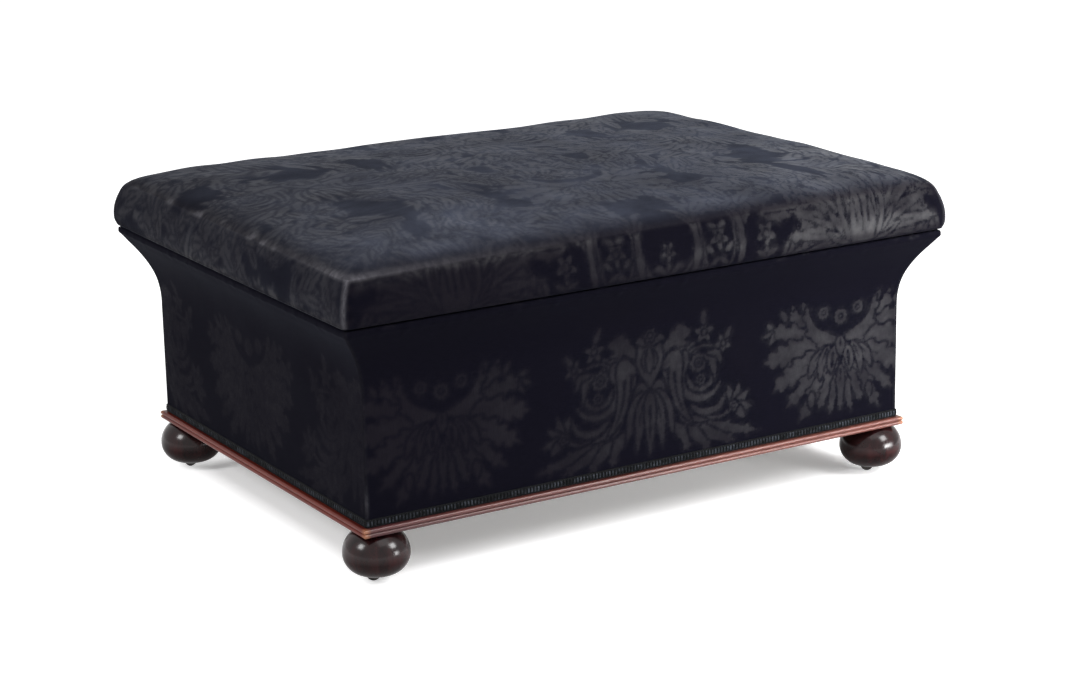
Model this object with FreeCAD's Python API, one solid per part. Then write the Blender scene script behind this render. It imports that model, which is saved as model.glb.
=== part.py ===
import FreeCAD, Part
import math
import os

# Box ottoman: an upholstered chest with a stuffed, crowned lid, standing on bun feet with hidden casters.
# Millimetres, +Z up, origin on the floor under the middle of the box. +X is the length, the hinges are at +Y.
# "Inset" is a distance inwards, in plan, from the upright plane through the box's top edge.

os.makedirs("parts", exist_ok=True)

# Box, over its top edge
box_length = 1000.0
box_depth = 756.0
panel_height = 291.5
panel_thickness = 18.0
board_thickness = 12.0
board_count = 3
cloth_inset = 45.0
cover_thickness = 2.0
lining_thickness = 1.0

# Cove under the lid
cove_radius = 150.0
lip_inset = 1.0
lip_height = 8.0
cove_toe_thickness = 1.5

# Braid and base moulding
braid_height = 12.0
braid_thickness = 1.6
moulding_thickness = 12.5
moulding_inset = 37.0
moulding_clearance = 1.0
bead_depth = 2.2
foot_block_size = 60.0

# Bun feet
foot_radius = 47.5
foot_inset = 72.0
foot_height = 64.0
foot_equator = 30.5
foot_rim_radius = 22.0
foot_top_radius = 26.0
foot_dowel_radius = 6.5
foot_dowel_length = 24.0

# Casters
wheel_radius = 10.0
wheel_width = 7.0
wheel_edge = 1.2
caster_trail = 5.0
caster_angles = {"front_left": 149.0, "front_right": 152.0, "back_left": 122.0, "back_right": 140.0}
caster_protrusion = 11.5
recess_radius = 17.2
horn_thickness = 1.6
horn_top_thickness = 2.0
horn_eye_radius = 4.5
horn_back = 6.0
wheel_top_clearance = 2.0
wheel_side_clearance = 0.4
spindle_radius = 3.0
spindle_length = 26.0
axle_radius = 1.5
axle_head_radius = 2.5
axle_head_thickness = 0.6
running_clearance = 0.05
turning_gap = 0.3
socket_flange_radius = 16.6
socket_flange_thickness = 2.0
socket_sleeve_radius = 5.0
socket_sleeve_length = 27.0
socket_bore_depth = 28.5
socket_screw_count = 3
socket_screw_circle = 13.0

# Lid
joint_gap = 2.0
lid_height = 98.5
lid_rail_width = 80.0
lid_rail_height = 25.0
lid_rail_inset = 8.0
lid_cloth_thickness = 1.5
lid_turn_under = 26.0
lid_lining_inset = 12.0
turn_under_thickness = 1.0
cross_rail_width = 60.0
webbing_width = 50.0
webbing_thickness = 1.5
webbing_pitch = 95.0
hessian_thickness = 1.0
hessian_inset = 20.0
lid_corner_radius = 7.0
crown_corner_share = 0.9
side_bow = 1.5
loft_degree = 2

# Outline of the lid from its lower edge to its crown: inset as a share of half the depth, then rise as a
# share of the lid's height. The side swells first, rounds over, and the top climbs slowly to the middle.
lid_outline_shares = [
    (0.0, 0.0), (-0.0095, 0.08), (-0.0120, 0.17), (-0.0080, 0.28), (0.0, 0.38), (0.0120, 0.50),
    (0.0260, 0.60), (0.0500, 0.69), (0.0950, 0.762), (0.1550, 0.816), (0.2300, 0.860), (0.3300, 0.900),
    (0.4500, 0.936), (0.6000, 0.969), (0.7500, 0.990), (0.8900, 1.0)]

# Hinges
hinge_offset = 300.0
hinge_length = 60.0
hinge_knuckles = 3
leaf_width = 34.0
leaf_thickness = 2.0
knuckle_radius = 4.0
knuckle_gap = 0.3
hinge_pin_radius = 1.5
notch_clearance = 0.9
leaf_screw_count = 3
leaf_screw_shares = (0.45, 0.7)

# Lid stays
stay_radius = 130.0
stay_pivot_drop = 9.0
stay_stud_angle = 22.0
opening_angle = 95.0
arm_width = 14.0
arm_thickness = 2.5
arm_overrun = 9.0
stud_radius = 3.0
stud_head_radius = 5.5
stud_head_thickness = 2.0
slot_clearance = 0.3
stay_gap = 2.5
stud_plate_width = 30.0
stud_plate_height = 44.0
stud_plate_thickness = 2.5
bracket_thickness = 2.5
bracket_length = 40.0
bracket_reach = 15.0
bracket_wall_clearance = 1.0
rivet_radius = 2.5
rivet_head_radius = 4.5
rivet_head_thickness = 1.5

# Screws
screw_radius = 1.8
screw_head_radius = 3.4
screw_head_height = 1.6
screw_length = 14.0
small_screw_share = 0.6

# Everything that cuts runs past what it cuts by this much
overrun = 5.0

# Levels, from the floor up
foot_bottom = caster_protrusion
moulding_bottom = foot_bottom + foot_height
carcass_bottom = moulding_bottom + moulding_thickness
carcass_top = carcass_bottom + panel_height
box_top = carcass_top + cover_thickness
lid_bottom = box_top + joint_gap
turn_under_bottom = lid_bottom + lining_thickness
rail_bottom = turn_under_bottom + turn_under_thickness
rail_top = rail_bottom + lid_rail_height
webbing_top = rail_top + 2 * webbing_thickness
hessian_top = webbing_top + hessian_thickness
hinge_height = (box_top + lid_bottom) / 2
lip_low = box_top - lip_height
cove_bottom = lip_low - math.sqrt(cove_radius ** 2 - (cove_radius + lip_inset - cloth_inset) ** 2)

# Half sizes in plan
half_length = box_length / 2
half_depth = box_depth / 2
panel_inset = cloth_inset + cover_thickness
inner_inset = panel_inset + panel_thickness
inner_half_length = half_length - inner_inset
inner_half_depth = half_depth - inner_inset
lining_half_length = inner_half_length - lining_thickness
moulding_width = inner_inset - moulding_clearance - moulding_inset
hinge_axis_y = half_depth

SIDES = ("front", "back", "left", "right")
UP = FreeCAD.Vector(0, 0, 1)
ALONG_X = FreeCAD.Vector(1, 0, 0)


def vec(x, y, z):
    return FreeCAD.Vector(x, y, z)


def save(shape, node):
    """Write one node and say how many solids it holds."""
    if not shape.isValid() or not shape.Solids:
        raise ValueError(node + " is not a valid solid")
    shape.exportStep("parts/" + node + ".step")
    print(node, len(shape.Solids), round(shape.Volume / 1000.0, 2))


def group(shapes):
    return Part.makeCompound(shapes)


def block(x0, x1, y0, y1, z0, z1):
    """An upright box between two corners."""
    low = vec(min(x0, x1), min(y0, y1), min(z0, z1))
    return Part.makeBox(abs(x1 - x0), abs(y1 - y0), abs(z1 - z0), low)


def rod(radius, start, direction, length):
    return Part.makeCylinder(radius, length, start, direction)


def outline_face(points):
    """A flat face whose corners are (position, bend) pairs; a bend is a point that an arc goes through."""
    edges = []
    count = len(points)
    for i in range(count):
        start, bend = points[i]
        end = points[(i + 1) % count][0]
        if bend is None:
            edges.append(Part.makeLine(start, end))
        else:
            edges.append(Part.Arc(start, bend, end).toShape())
    return Part.Face(Part.Wire(edges))


def side_sizes(side):
    """Half the run of a side, half the distance across to the opposite side, and its turn about Z."""
    if side in ("front", "back"):
        return half_length, half_depth, 0.0 if side == "front" else 180.0
    return half_depth, half_length, 270.0 if side == "left" else 90.0


def mitred(profile, side, depth):
    """Run a profile of (inset, height, bend) rows along one side, mitred to its neighbours."""
    run, across, turn = side_sizes(side)

    def place(row):
        return None if row is None else vec(-run - overrun, -across + row[0], row[1])

    points = [(place(row[:2]), place(row[2])) for row in profile]
    bar = outline_face(points).extrude(vec(2 * (run + overrun), 0, 0))
    low = bar.BoundBox.ZMin - overrun
    height = bar.BoundBox.ZMax + overrun - low
    reach = depth + overrun
    corners = [vec(-run - overrun, -across - overrun, low), vec(run + overrun, -across - overrun, low),
               vec(run - reach, -across + reach, low), vec(-run + reach, -across + reach, low)]
    wedge = Part.Face(Part.makePolygon(corners + corners[:1])).extrude(vec(0, 0, height))
    solid = bar.common(wedge)
    solid.rotate(vec(0, 0, 0), UP, turn)
    return solid


def cove_point(radius, level):
    """Inset at a level of the arc of the given radius about the cove's centre."""
    return cloth_inset - cove_radius + math.sqrt(radius ** 2 - (level - cove_bottom) ** 2)


def cove_level(radius, inset):
    """Level at which that arc has come out to an inset."""
    return cove_bottom + math.sqrt(radius ** 2 - (inset - cloth_inset + cove_radius) ** 2)


def cove_rows(radius, low, high):
    """Two outline rows for the cove's arc, from low up to high."""
    middle = (low + high) / 2
    return [(cove_point(radius, low), low, (cove_point(radius, middle), middle)),
            (cove_point(radius, high), high, None)]


# Carcass

def panels():
    high = carcass_top
    low = carcass_bottom
    x = half_length - panel_inset
    y = half_depth - panel_inset
    save(block(-x, x, -y, -inner_half_depth, low, high), "front_panel")
    holes = group(box_screws())
    save(block(-x, x, inner_half_depth, y, low, high).cut(holes), "back_panel")
    for side, near, far in (("left", -x, -inner_half_length), ("right", inner_half_length, x)):
        panel = block(near, far, -inner_half_depth, inner_half_depth, low, high)
        save(panel.cut(holes), side + "_panel")


def foot_places():
    x = half_length - foot_inset
    y = half_depth - foot_inset
    return {"front_left": vec(-x, -y, 0), "front_right": vec(x, -y, 0),
            "back_left": vec(-x, y, 0), "back_right": vec(x, y, 0)}


def dowel_holes():
    holes = [rod(foot_dowel_radius, place + vec(0, 0, moulding_bottom - overrun), UP,
                 foot_dowel_length + overrun) for place in foot_places().values()]
    return group(holes)


def bottom_boards():
    width = 2 * inner_half_length / board_count
    names = ("bottom_board_left", "bottom_board_middle", "bottom_board_right")
    for i, name in enumerate(names):
        x0 = -inner_half_length + i * width
        board = block(x0, x0 + width, -inner_half_depth, inner_half_depth,
                      carcass_bottom, carcass_bottom + board_thickness)
        save(board.cut(dowel_holes()), name)


def foot_blocks():
    blocks = []
    for place in foot_places().values():
        x = math.copysign(inner_half_length, place.x)
        y = math.copysign(inner_half_depth, place.y)
        x_in = x - math.copysign(foot_block_size, place.x)
        y_in = y - math.copysign(foot_block_size, place.y)
        blocks.append(block(x, x_in, y, y_in, moulding_bottom, carcass_bottom).cut(dowel_holes()))
    save(group(blocks), "foot_blocks")


def cove_rails():
    rail_radius = cove_radius + cover_thickness
    lip = lip_inset + cover_thickness
    toe = cove_level(rail_radius, panel_inset - cove_toe_thickness)
    for side in SIDES:
        rows = [(panel_inset, toe, None)] + cove_rows(rail_radius, toe, cove_level(rail_radius, lip))
        rows += [(lip, carcass_top, None), (panel_inset, carcass_top, None)]
        rail = mitred(rows, side, inner_inset)
        if side == "back":
            rail = rail.cut(hinge_notches(carcass_bottom, box_top)).cut(group(box_screws()))
        save(rail, side + "_cove_rail")


def covers():
    """The damask on each side: up the panel, round the cove, up the lip and over the top edge."""
    low = carcass_bottom
    inner_radius = cove_radius + cover_thickness
    lip = lip_inset + cover_thickness
    for side in SIDES:
        rows = [(cloth_inset, low, None)] + cove_rows(cove_radius, cove_bottom, lip_low)
        rows += [(lip_inset, box_top, None), (inner_inset, box_top, None), (inner_inset, carcass_top, None),
                 (lip, carcass_top, None)]
        inner = cove_rows(inner_radius, cove_bottom, cove_level(inner_radius, lip))
        rows.append((inner[1][0], inner[1][1], inner[0][2]))
        rows += [(panel_inset, cove_bottom, None), (panel_inset, low, None)]
        cover = mitred(rows, side, inner_inset)
        if side == "back":
            cover = cover.cut(hinge_notches(carcass_bottom, box_top)).cut(leaf_room(carcass_top, box_top))
        save(cover, side + "_cover")


def braid():
    rows = [(cloth_inset - braid_thickness, carcass_bottom, None),
            (cloth_inset - braid_thickness, carcass_bottom + braid_height, None),
            (cloth_inset, carcass_bottom + braid_height, None),
            (cloth_inset, carcass_bottom, None)]
    sides = [mitred(rows, side, inner_inset) for side in SIDES]
    ring = sides[0].multiFuse(sides[1:])
    save(ring.removeSplitter(), "gimp_braid")


def base_mouldings():
    """Mahogany strips under the panels, their outer edge worked as two beads with a groove between."""
    low = moulding_bottom
    high = carcass_bottom
    middle = (low + high) / 2
    tip = moulding_inset
    root = moulding_inset + bead_depth
    back = moulding_inset + moulding_width
    for side in SIDES:
        rows = [(root, low, (tip, (low + middle) / 2)), (root, middle, (tip, (middle + high) / 2)),
                (root, high, None), (back, high, None), (back, low, None)]
        save(mitred(rows, side, inner_inset), side + "_base_moulding")


def box_lining():
    outer = block(-inner_half_length, inner_half_length, -inner_half_depth, inner_half_depth,
                  carcass_bottom + board_thickness, carcass_top)
    t = lining_thickness
    inner = block(-inner_half_length + t, inner_half_length - t, -inner_half_depth + t, inner_half_depth - t,
                  carcass_bottom + board_thickness + t, carcass_top + overrun)
    save(outer.cut(inner).cut(group(box_screws())), "box_lining")


# Feet and casters

def tangent_arc(equator_radius, end_radius, height):
    """Point half way along an arc that leaves the equator upright and ends at end_radius."""
    step = equator_radius - end_radius
    radius = (step ** 2 + height ** 2) / (2 * step)
    half_turn = math.asin(height / radius) / 2
    return equator_radius - radius * (1 - math.cos(half_turn)), radius * math.sin(half_turn)


def recess_top():
    return 2 * wheel_radius + wheel_top_clearance + horn_top_thickness + turning_gap + socket_flange_thickness


def foot():
    """One turned foot about the Z axis: bun, dowel, and the hollow underneath that hides the caster."""
    equator = foot_bottom + foot_equator
    upper = foot_height - foot_equator
    low_r, low_z = tangent_arc(foot_radius, foot_rim_radius, foot_equator)
    high_r, high_z = tangent_arc(foot_radius, foot_top_radius, upper)
    points = [(vec(0, 0, foot_bottom), None),
              (vec(foot_rim_radius, 0, foot_bottom), vec(low_r, 0, equator - low_z)),
              (vec(foot_radius, 0, equator), vec(high_r, 0, equator + high_z)),
              (vec(foot_top_radius, 0, moulding_bottom), None),
              (vec(foot_dowel_radius, 0, moulding_bottom), None),
              (vec(foot_dowel_radius, 0, moulding_bottom + foot_dowel_length), None),
              (vec(0, 0, moulding_bottom + foot_dowel_length), None)]
    bun = outline_face(points).revolve(vec(0, 0, 0), UP, 360)
    hollow = rod(recess_radius, vec(0, 0, -overrun), UP, recess_top() + overrun)
    bore = rod(socket_sleeve_radius, vec(0, 0, recess_top() - overrun), UP, socket_bore_depth + overrun)
    return bun.cut(hollow).cut(bore).cut(group(socket_screws()))


def screw(radius, head_radius, head_height, length):
    """A countersunk screw, its head's face at the origin, pointing up."""
    head = Part.makeCone(head_radius, radius, head_height)
    return head.fuse(rod(radius, vec(0, 0, head_height), UP, length - head_height))


def socket_screws():
    small = small_screw_share
    level = recess_top() - socket_flange_thickness
    screws = []
    for i in range(socket_screw_count):
        one = screw(screw_radius * small, screw_head_radius * small, screw_head_height * small,
                    screw_length * small)
        one.translate(vec(socket_screw_circle, 0, level))
        one.rotate(vec(0, 0, 0), UP, 360.0 * i / socket_screw_count)
        screws.append(one)
    return screws


def socket():
    flange_low = recess_top() - socket_flange_thickness
    flange = rod(socket_flange_radius, vec(0, 0, flange_low), UP, socket_flange_thickness)
    sleeve = rod(socket_sleeve_radius, vec(0, 0, flange_low), UP,
                 socket_flange_thickness + socket_sleeve_length)
    bore = rod(spindle_radius + running_clearance, vec(0, 0, flange_low - overrun), UP,
               socket_flange_thickness + socket_sleeve_length + 2 * overrun)
    return flange.fuse(sleeve).removeSplitter().cut(bore).cut(group(socket_screws()))


def horn():
    """Swivelling fork: spindle, top plate and two cheeks, with the wheel trailing along +X."""
    top_low = 2 * wheel_radius + wheel_top_clearance
    inside = wheel_width / 2 + wheel_side_clearance
    outside = inside + horn_thickness
    front = caster_trail + horn_eye_radius
    body = block(-horn_back, front, -outside, outside, top_low, top_low + horn_top_thickness)
    body = body.fuse(rod(spindle_radius, vec(0, 0, top_low), UP, horn_top_thickness + spindle_length))
    for y in (inside, -outside):
        cheek = block(caster_trail - horn_eye_radius, front, y, y + horn_thickness,
                      wheel_radius, top_low + horn_top_thickness)
        eye = rod(horn_eye_radius, vec(caster_trail, y, wheel_radius), vec(0, 1, 0), horn_thickness)
        body = body.fuse(cheek).fuse(eye)
    hole = rod(axle_radius, vec(caster_trail, -outside - overrun, wheel_radius), vec(0, 1, 0),
               2 * (outside + overrun))
    return body.removeSplitter().cut(hole)


def wheel():
    half = wheel_width / 2
    disc = rod(wheel_radius, vec(caster_trail, -half, wheel_radius), vec(0, 1, 0), wheel_width)
    rims = [edge for edge in disc.Edges if len(edge.Vertexes) == 1]
    disc = disc.makeFillet(wheel_edge, rims)
    bore = rod(axle_radius + running_clearance, vec(caster_trail, -half - overrun, wheel_radius),
               vec(0, 1, 0), wheel_width + 2 * overrun)
    return disc.cut(bore)


def axle():
    outside = wheel_width / 2 + wheel_side_clearance + horn_thickness
    pin = rod(axle_radius, vec(caster_trail, -outside, wheel_radius), vec(0, 1, 0), 2 * outside)
    for y in (-outside - axle_head_thickness, outside):
        head = rod(axle_head_radius, vec(caster_trail, y, wheel_radius), vec(0, 1, 0), axle_head_thickness)
        pin = pin.fuse(head)
    return pin.removeSplitter()


def feet_and_casters():
    sockets = []
    screws = []
    for corner, place in foot_places().items():
        turn = caster_angles[corner]
        pieces = {"foot_" + corner: foot(), "caster_" + corner + "_horn": horn(),
                  "caster_" + corner + "_wheel": wheel(), "caster_" + corner + "_axle": axle()}
        for node, piece in pieces.items():
            if node.startswith("caster"):
                piece.rotate(vec(0, 0, 0), UP, turn)
            piece.translate(place)
            save(piece, node)
        for piece, kept in [(socket(), sockets)] + [(one, screws) for one in socket_screws()]:
            piece.translate(place)
            kept.append(piece)
    save(group(sockets), "caster_sockets")
    save(group(screws), "caster_socket_screws")


# Lid

def rounded_loop(x_half, y_half, radius, level):
    """A level loop of four gently bowed sides and four corner arcs."""
    bow = side_bow
    r = min(radius, crown_corner_share * min(x_half, y_half))
    k = r * (1 - math.sqrt(0.5))
    a = x_half - r
    b = y_half - r
    points = [(vec(-a, -y_half, level), vec(0, -y_half - bow, level)),
              (vec(a, -y_half, level), vec(x_half - k, -y_half + k, level)),
              (vec(x_half, -b, level), vec(x_half + bow, 0, level)),
              (vec(x_half, b, level), vec(x_half - k, y_half - k, level)),
              (vec(a, y_half, level), vec(0, y_half + bow, level)),
              (vec(-a, y_half, level), vec(-x_half + k, y_half - k, level)),
              (vec(-x_half, b, level), vec(-x_half - bow, 0, level)),
              (vec(-x_half, -b, level), vec(-x_half + k, -y_half + k, level))]
    edges = []
    for i, (start, bend) in enumerate(points):
        edges.append(Part.Arc(start, bend, points[(i + 1) % len(points)][0]).toShape())
    return Part.Wire(edges)


def lid_form(skin):
    """The stuffed lid's outer form, drawn in everywhere by the given skin."""
    loops = []
    for inset_share, rise_share in lid_outline_shares:
        inset = inset_share * half_depth
        drop = skin * rise_share
        level = turn_under_bottom + rise_share * lid_height - drop
        radius = lid_corner_radius + crown_corner_share * max(inset, 0.0)
        loops.append(rounded_loop(half_length - inset - skin, half_depth - inset - skin, radius, level))
    return Part.makeLoft(loops, True, False, False, loft_degree)


def lid_rails():
    x = half_length - lid_rail_inset
    y = half_depth - lid_rail_inset
    w = lid_rail_width
    low = rail_bottom
    high = rail_top
    holes = group(lid_screws())
    save(block(-x, x, -y, -y + w, low, high), "lid_front_rail")
    save(block(-x, x, y - w, y, low, high).cut(holes), "lid_back_rail")
    save(block(-x, -x + w, -y + w, y - w, low, high).cut(holes), "lid_left_rail")
    save(block(x - w, x, -y + w, y - w, low, high).cut(holes), "lid_right_rail")
    half = cross_rail_width / 2
    save(block(-half, half, -y + w, y - w, low, high), "lid_cross_rail")


def webbing_places(half_span):
    """Middles of evenly spaced webs, a pitch apart, that fit inside half_span either side of zero."""
    count = int(2 * half_span // webbing_pitch)
    first = -webbing_pitch * (count - 1) / 2
    return [first + i * webbing_pitch for i in range(count)]


def lid_webbing():
    x = half_length - hessian_inset
    y = half_depth - hessian_inset
    half = webbing_width / 2
    middle = rail_top + webbing_thickness
    webs = [block(c - half, c + half, -y, y, rail_top, middle) for c in webbing_places(x - half)]
    webs += [block(-x, x, c - half, c + half, middle, webbing_top) for c in webbing_places(y - half)]
    save(group(webs), "lid_webbing")


def lid_soft_parts():
    x = half_length - hessian_inset
    y = half_depth - hessian_inset
    save(block(-x, x, -y, y, webbing_top, hessian_top), "lid_hessian")
    outer = lid_form(0.0)
    inner = lid_form(lid_cloth_thickness)
    notches = hinge_notches(box_top, rail_bottom + knuckle_radius)
    below = block(-box_length, box_length, -box_depth, box_depth, -overrun, rail_bottom)
    rails = block(-half_length + lid_rail_inset, half_length - lid_rail_inset,
                  -half_depth + lid_rail_inset, half_depth - lid_rail_inset, rail_bottom, rail_top)
    webs = block(-x, x, -y, y, rail_top, hessian_top)
    stuffing = inner.cut(below).cut(rails).cut(webs).cut(notches)
    save(stuffing, "lid_stuffing")
    inside = half_length - lid_turn_under
    across = half_depth - lid_turn_under
    opening = block(-inside, inside, -across, across, turn_under_bottom - overrun, rail_bottom)
    cover = outer.cut(inner.cut(below)).cut(opening).cut(notches)
    cover = cover.cut(leaf_room(lid_bottom, rail_bottom))
    save(cover, "lid_cover")
    x = half_length - lid_lining_inset
    y = half_depth - lid_lining_inset
    lining = block(-x, x, -y, y, lid_bottom, turn_under_bottom)
    save(lining.cut(leaf_room(lid_bottom, rail_bottom)).cut(group(lid_screws())), "lid_lining")


# Hinges

def hinge_places():
    return (-hinge_offset, hinge_offset)


def hinge_notches(low, high):
    """Room for the barrels where they are let into wood and cloth, between two levels."""
    reach = knuckle_radius + notch_clearance
    half = hinge_length / 2 + notch_clearance
    cuts = []
    for x in hinge_places():
        barrel = rod(reach, vec(x - half, hinge_axis_y, hinge_height), ALONG_X, 2 * half)
        bound = block(x - half, x + half, hinge_axis_y - reach, hinge_axis_y + reach, low, high)
        slot = block(x - half, x + half, hinge_axis_y, hinge_axis_y + reach, low, high)
        near = block(x - half, x + half, hinge_axis_y, hinge_axis_y + reach + overrun,
                     hinge_height - reach, hinge_height + reach)
        cuts.append(barrel.common(bound).fuse(slot.common(near)))
    return group(cuts)


def leaf_room(low, high):
    """Room for the leaves where cloth is cut away round them."""
    half = hinge_length / 2 + notch_clearance
    y = hinge_axis_y - leaf_width - notch_clearance
    return group([block(x - half, x + half, y, hinge_axis_y + overrun, low, high) for x in hinge_places()])


def leaf_screw_places(x):
    """Plan places of one leaf's screws, alternating across its width."""
    places = []
    for i in range(leaf_screw_count):
        along = x + hinge_length * ((i + 0.5) / leaf_screw_count - 0.5)
        places.append((along, hinge_axis_y - leaf_width * leaf_screw_shares[i % 2]))
    return places


def leaf(x, plate_low, own):
    """One leaf with its share of the knuckles: own is 0 for the outer ones, 1 for the middle one."""
    half = hinge_length / 2
    plate = block(x - half, x + half, hinge_axis_y - leaf_width, hinge_axis_y, plate_low,
                  plate_low + leaf_thickness)
    barrel = rod(knuckle_radius, vec(x - half, hinge_axis_y, hinge_height), ALONG_X, hinge_length)
    body = plate.fuse(barrel)
    step = hinge_length / hinge_knuckles
    reach = knuckle_radius + knuckle_gap
    for i in range(hinge_knuckles):
        if i % 2 != own:
            gap_low = x - half + i * step - (knuckle_gap if i > 0 else overrun)
            gap_high = x - half + (i + 1) * step + (knuckle_gap if i < hinge_knuckles - 1 else overrun)
            body = body.cut(rod(reach, vec(gap_low, hinge_axis_y, hinge_height), ALONG_X, gap_high - gap_low))
    return body


def hinges():
    box_leaves = []
    lid_leaves = []
    pins = []
    box_holes = group(box_hinge_screws())
    lid_holes = group(lid_hinge_screws())
    for x in hinge_places():
        half = hinge_length / 2
        start = vec(x - half, hinge_axis_y, hinge_height)
        pin = rod(hinge_pin_radius, start, ALONG_X, hinge_length)
        wide = rod(hinge_pin_radius + running_clearance, start - ALONG_X * overrun, ALONG_X,
                   hinge_length + 2 * overrun)
        box_leaves.append(leaf(x, carcass_top, 0).cut(pin).cut(box_holes))
        lid_leaves.append(leaf(x, lid_bottom, 1).cut(wide).cut(lid_holes))
        pins.append(pin)
    save(group(box_leaves), "hinge_box_leaves")
    save(group(lid_leaves), "hinge_lid_leaves")
    save(group(pins), "hinge_pins")


def placed_screw(point, direction, length):
    """A screw with the middle of its head's face at a point, driven along a direction."""
    one = screw(screw_radius, screw_head_radius, screw_head_height, length)
    one.Placement = FreeCAD.Placement(point, FreeCAD.Rotation(UP, direction))
    return one


def box_hinge_screws():
    return [placed_screw(vec(a, b, box_top), -UP, screw_length)
            for x in hinge_places() for a, b in leaf_screw_places(x)]


def lid_hinge_screws():
    return [placed_screw(vec(a, b, lid_bottom), UP, screw_length)
            for x in hinge_places() for a, b in leaf_screw_places(x)]


# Lid stays: a slotted arm hangs from the lid and slides over a stud on the box's side. The stud is as far
# from the hinge axis as the arm's pivot, so the arm turns at half the lid's rate.

def pivot_place(angle):
    """Where the arm's pivot is, in the YZ plane, when the lid has turned by an angle in degrees."""
    reach = math.sqrt(stay_radius ** 2 - stay_pivot_drop ** 2)
    turn = math.radians(angle)
    y = -reach * math.cos(turn) - stay_pivot_drop * math.sin(turn)
    z = reach * math.sin(turn) - stay_pivot_drop * math.cos(turn)
    return hinge_axis_y + y, hinge_height + z


def stud_place():
    turn = math.radians(stay_stud_angle)
    return hinge_axis_y - stay_radius * math.cos(turn), hinge_height - stay_radius * math.sin(turn)


def stud_distance(angle):
    pivot = pivot_place(angle)
    stud = stud_place()
    return math.hypot(pivot[0] - stud[0], pivot[1] - stud[1])


def arm_planes():
    """Distances from the middle of the box to the arm's inner and outer faces."""
    outer = lining_half_length - stud_plate_thickness - stay_gap
    return outer - arm_thickness, outer


def rounded_bar(x0, x1, near, far, half_width):
    """A bar with round ends in a YZ plane, between two points that are its end centres."""
    length = math.hypot(far[0] - near[0], far[1] - near[1])
    turn = math.degrees(math.atan2(far[1] - near[1], far[0] - near[0]))
    bar = block(x0, x1, 0, length, -half_width, half_width)
    for y in (0, length):
        bar = bar.fuse(rod(half_width, vec(x0, y, 0), ALONG_X, x1 - x0))
    bar.rotate(vec(0, 0, 0), ALONG_X, turn)
    bar.translate(vec(0, near[0], near[1]))
    return bar.removeSplitter()


def stay_arm():
    """The right-hand arm, at rest."""
    inner, outer = arm_planes()
    pivot = pivot_place(0.0)
    stud = stud_place()
    short = stud_distance(0.0)
    long = stud_distance(opening_angle)

    def along(distance):
        share = distance / short
        return pivot[0] + (stud[0] - pivot[0]) * share, pivot[1] + (stud[1] - pivot[1]) * share

    bar = rounded_bar(inner, outer, pivot, along(long + arm_overrun), arm_width / 2)
    slot = rounded_bar(inner - overrun, outer + overrun, stud, along(long), stud_radius + slot_clearance)
    hole = rod(rivet_radius + running_clearance, vec(inner - overrun, pivot[0], pivot[1]), ALONG_X,
               arm_thickness + 2 * overrun)
    return bar.cut(slot).cut(hole)


def stud_screw_places():
    y, z = stud_place()
    step = stud_plate_height / 2 - 2 * screw_head_radius
    return [(y, z - step), (y, z + step)]


def box_stud():
    """The right-hand stud and its plate, screwed to the box's side over the lining."""
    y, z = stud_place()
    wall = lining_half_length
    face = wall - stud_plate_thickness
    inner = arm_planes()[0] - stay_gap
    plate = block(face, wall, y - stud_plate_width / 2, y + stud_plate_width / 2,
                  z - stud_plate_height / 2, z + stud_plate_height / 2)
    shank = rod(stud_radius, vec(inner, y, z), ALONG_X, wall - inner)
    head = rod(stud_head_radius, vec(inner - stud_head_thickness, y, z), ALONG_X, stud_head_thickness)
    return plate.fuse(shank).fuse(head).removeSplitter().cut(group(stud_screws()))


def stud_screws():
    face = lining_half_length - stud_plate_thickness
    return [placed_screw(vec(face, y, z), ALONG_X, screw_length) for y, z in stud_screw_places()]


def bracket_screws():
    ear_outer = lining_half_length - bracket_wall_clearance
    x = ear_outer - bracket_reach + screw_head_radius + rivet_head_thickness
    y = pivot_place(0.0)[0]
    level = lid_bottom - bracket_thickness
    step = bracket_length / 2 - 2 * screw_head_radius
    return [placed_screw(vec(x, y + shift, level), UP, screw_length) for shift in (-step, step)]


def lid_bracket():
    """The right-hand angle under the lid, with the rivet that the arm hangs on."""
    y, z = pivot_place(0.0)
    ear_outer = lining_half_length - bracket_wall_clearance
    ear_inner = ear_outer - bracket_thickness
    half = bracket_length / 2
    level = lid_bottom - bracket_thickness
    plate = block(ear_outer - bracket_reach, ear_outer, y - half, y + half, level, lid_bottom)
    ear_half = arm_width / 2
    ear = block(ear_inner, ear_outer, y - ear_half, y + ear_half, z, lid_bottom)
    tip = rod(ear_half, vec(ear_inner, y, z), ALONG_X, bracket_thickness)
    arm_inner = arm_planes()[0]
    head_face = arm_inner - turning_gap
    shank = rod(rivet_radius, vec(head_face, y, z), ALONG_X, ear_outer - head_face)
    head = rod(rivet_head_radius, vec(head_face - rivet_head_thickness, y, z), ALONG_X, rivet_head_thickness)
    body = plate.fuse(ear).fuse(tip).fuse(shank).fuse(head).removeSplitter()
    return body.cut(group(bracket_screws()))


def both_sides(shapes):
    """The right-hand shapes and their mirror images."""
    return shapes + [shape.mirror(vec(0, 0, 0), ALONG_X) for shape in shapes]


def lid_stays():
    save(group(both_sides([box_stud()])), "stay_box_studs")
    save(group(both_sides([lid_bracket()])), "stay_lid_brackets")
    arm = stay_arm()
    save(arm, "stay_right_arm")
    save(arm.mirror(vec(0, 0, 0), ALONG_X), "stay_left_arm")


def box_screws():
    return box_hinge_screws() + both_sides(stud_screws())


def lid_screws():
    return lid_hinge_screws() + both_sides(bracket_screws())


def hardware_screws():
    save(group(box_screws()), "box_hardware_screws")
    save(group(lid_screws()), "lid_hardware_screws")


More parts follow.
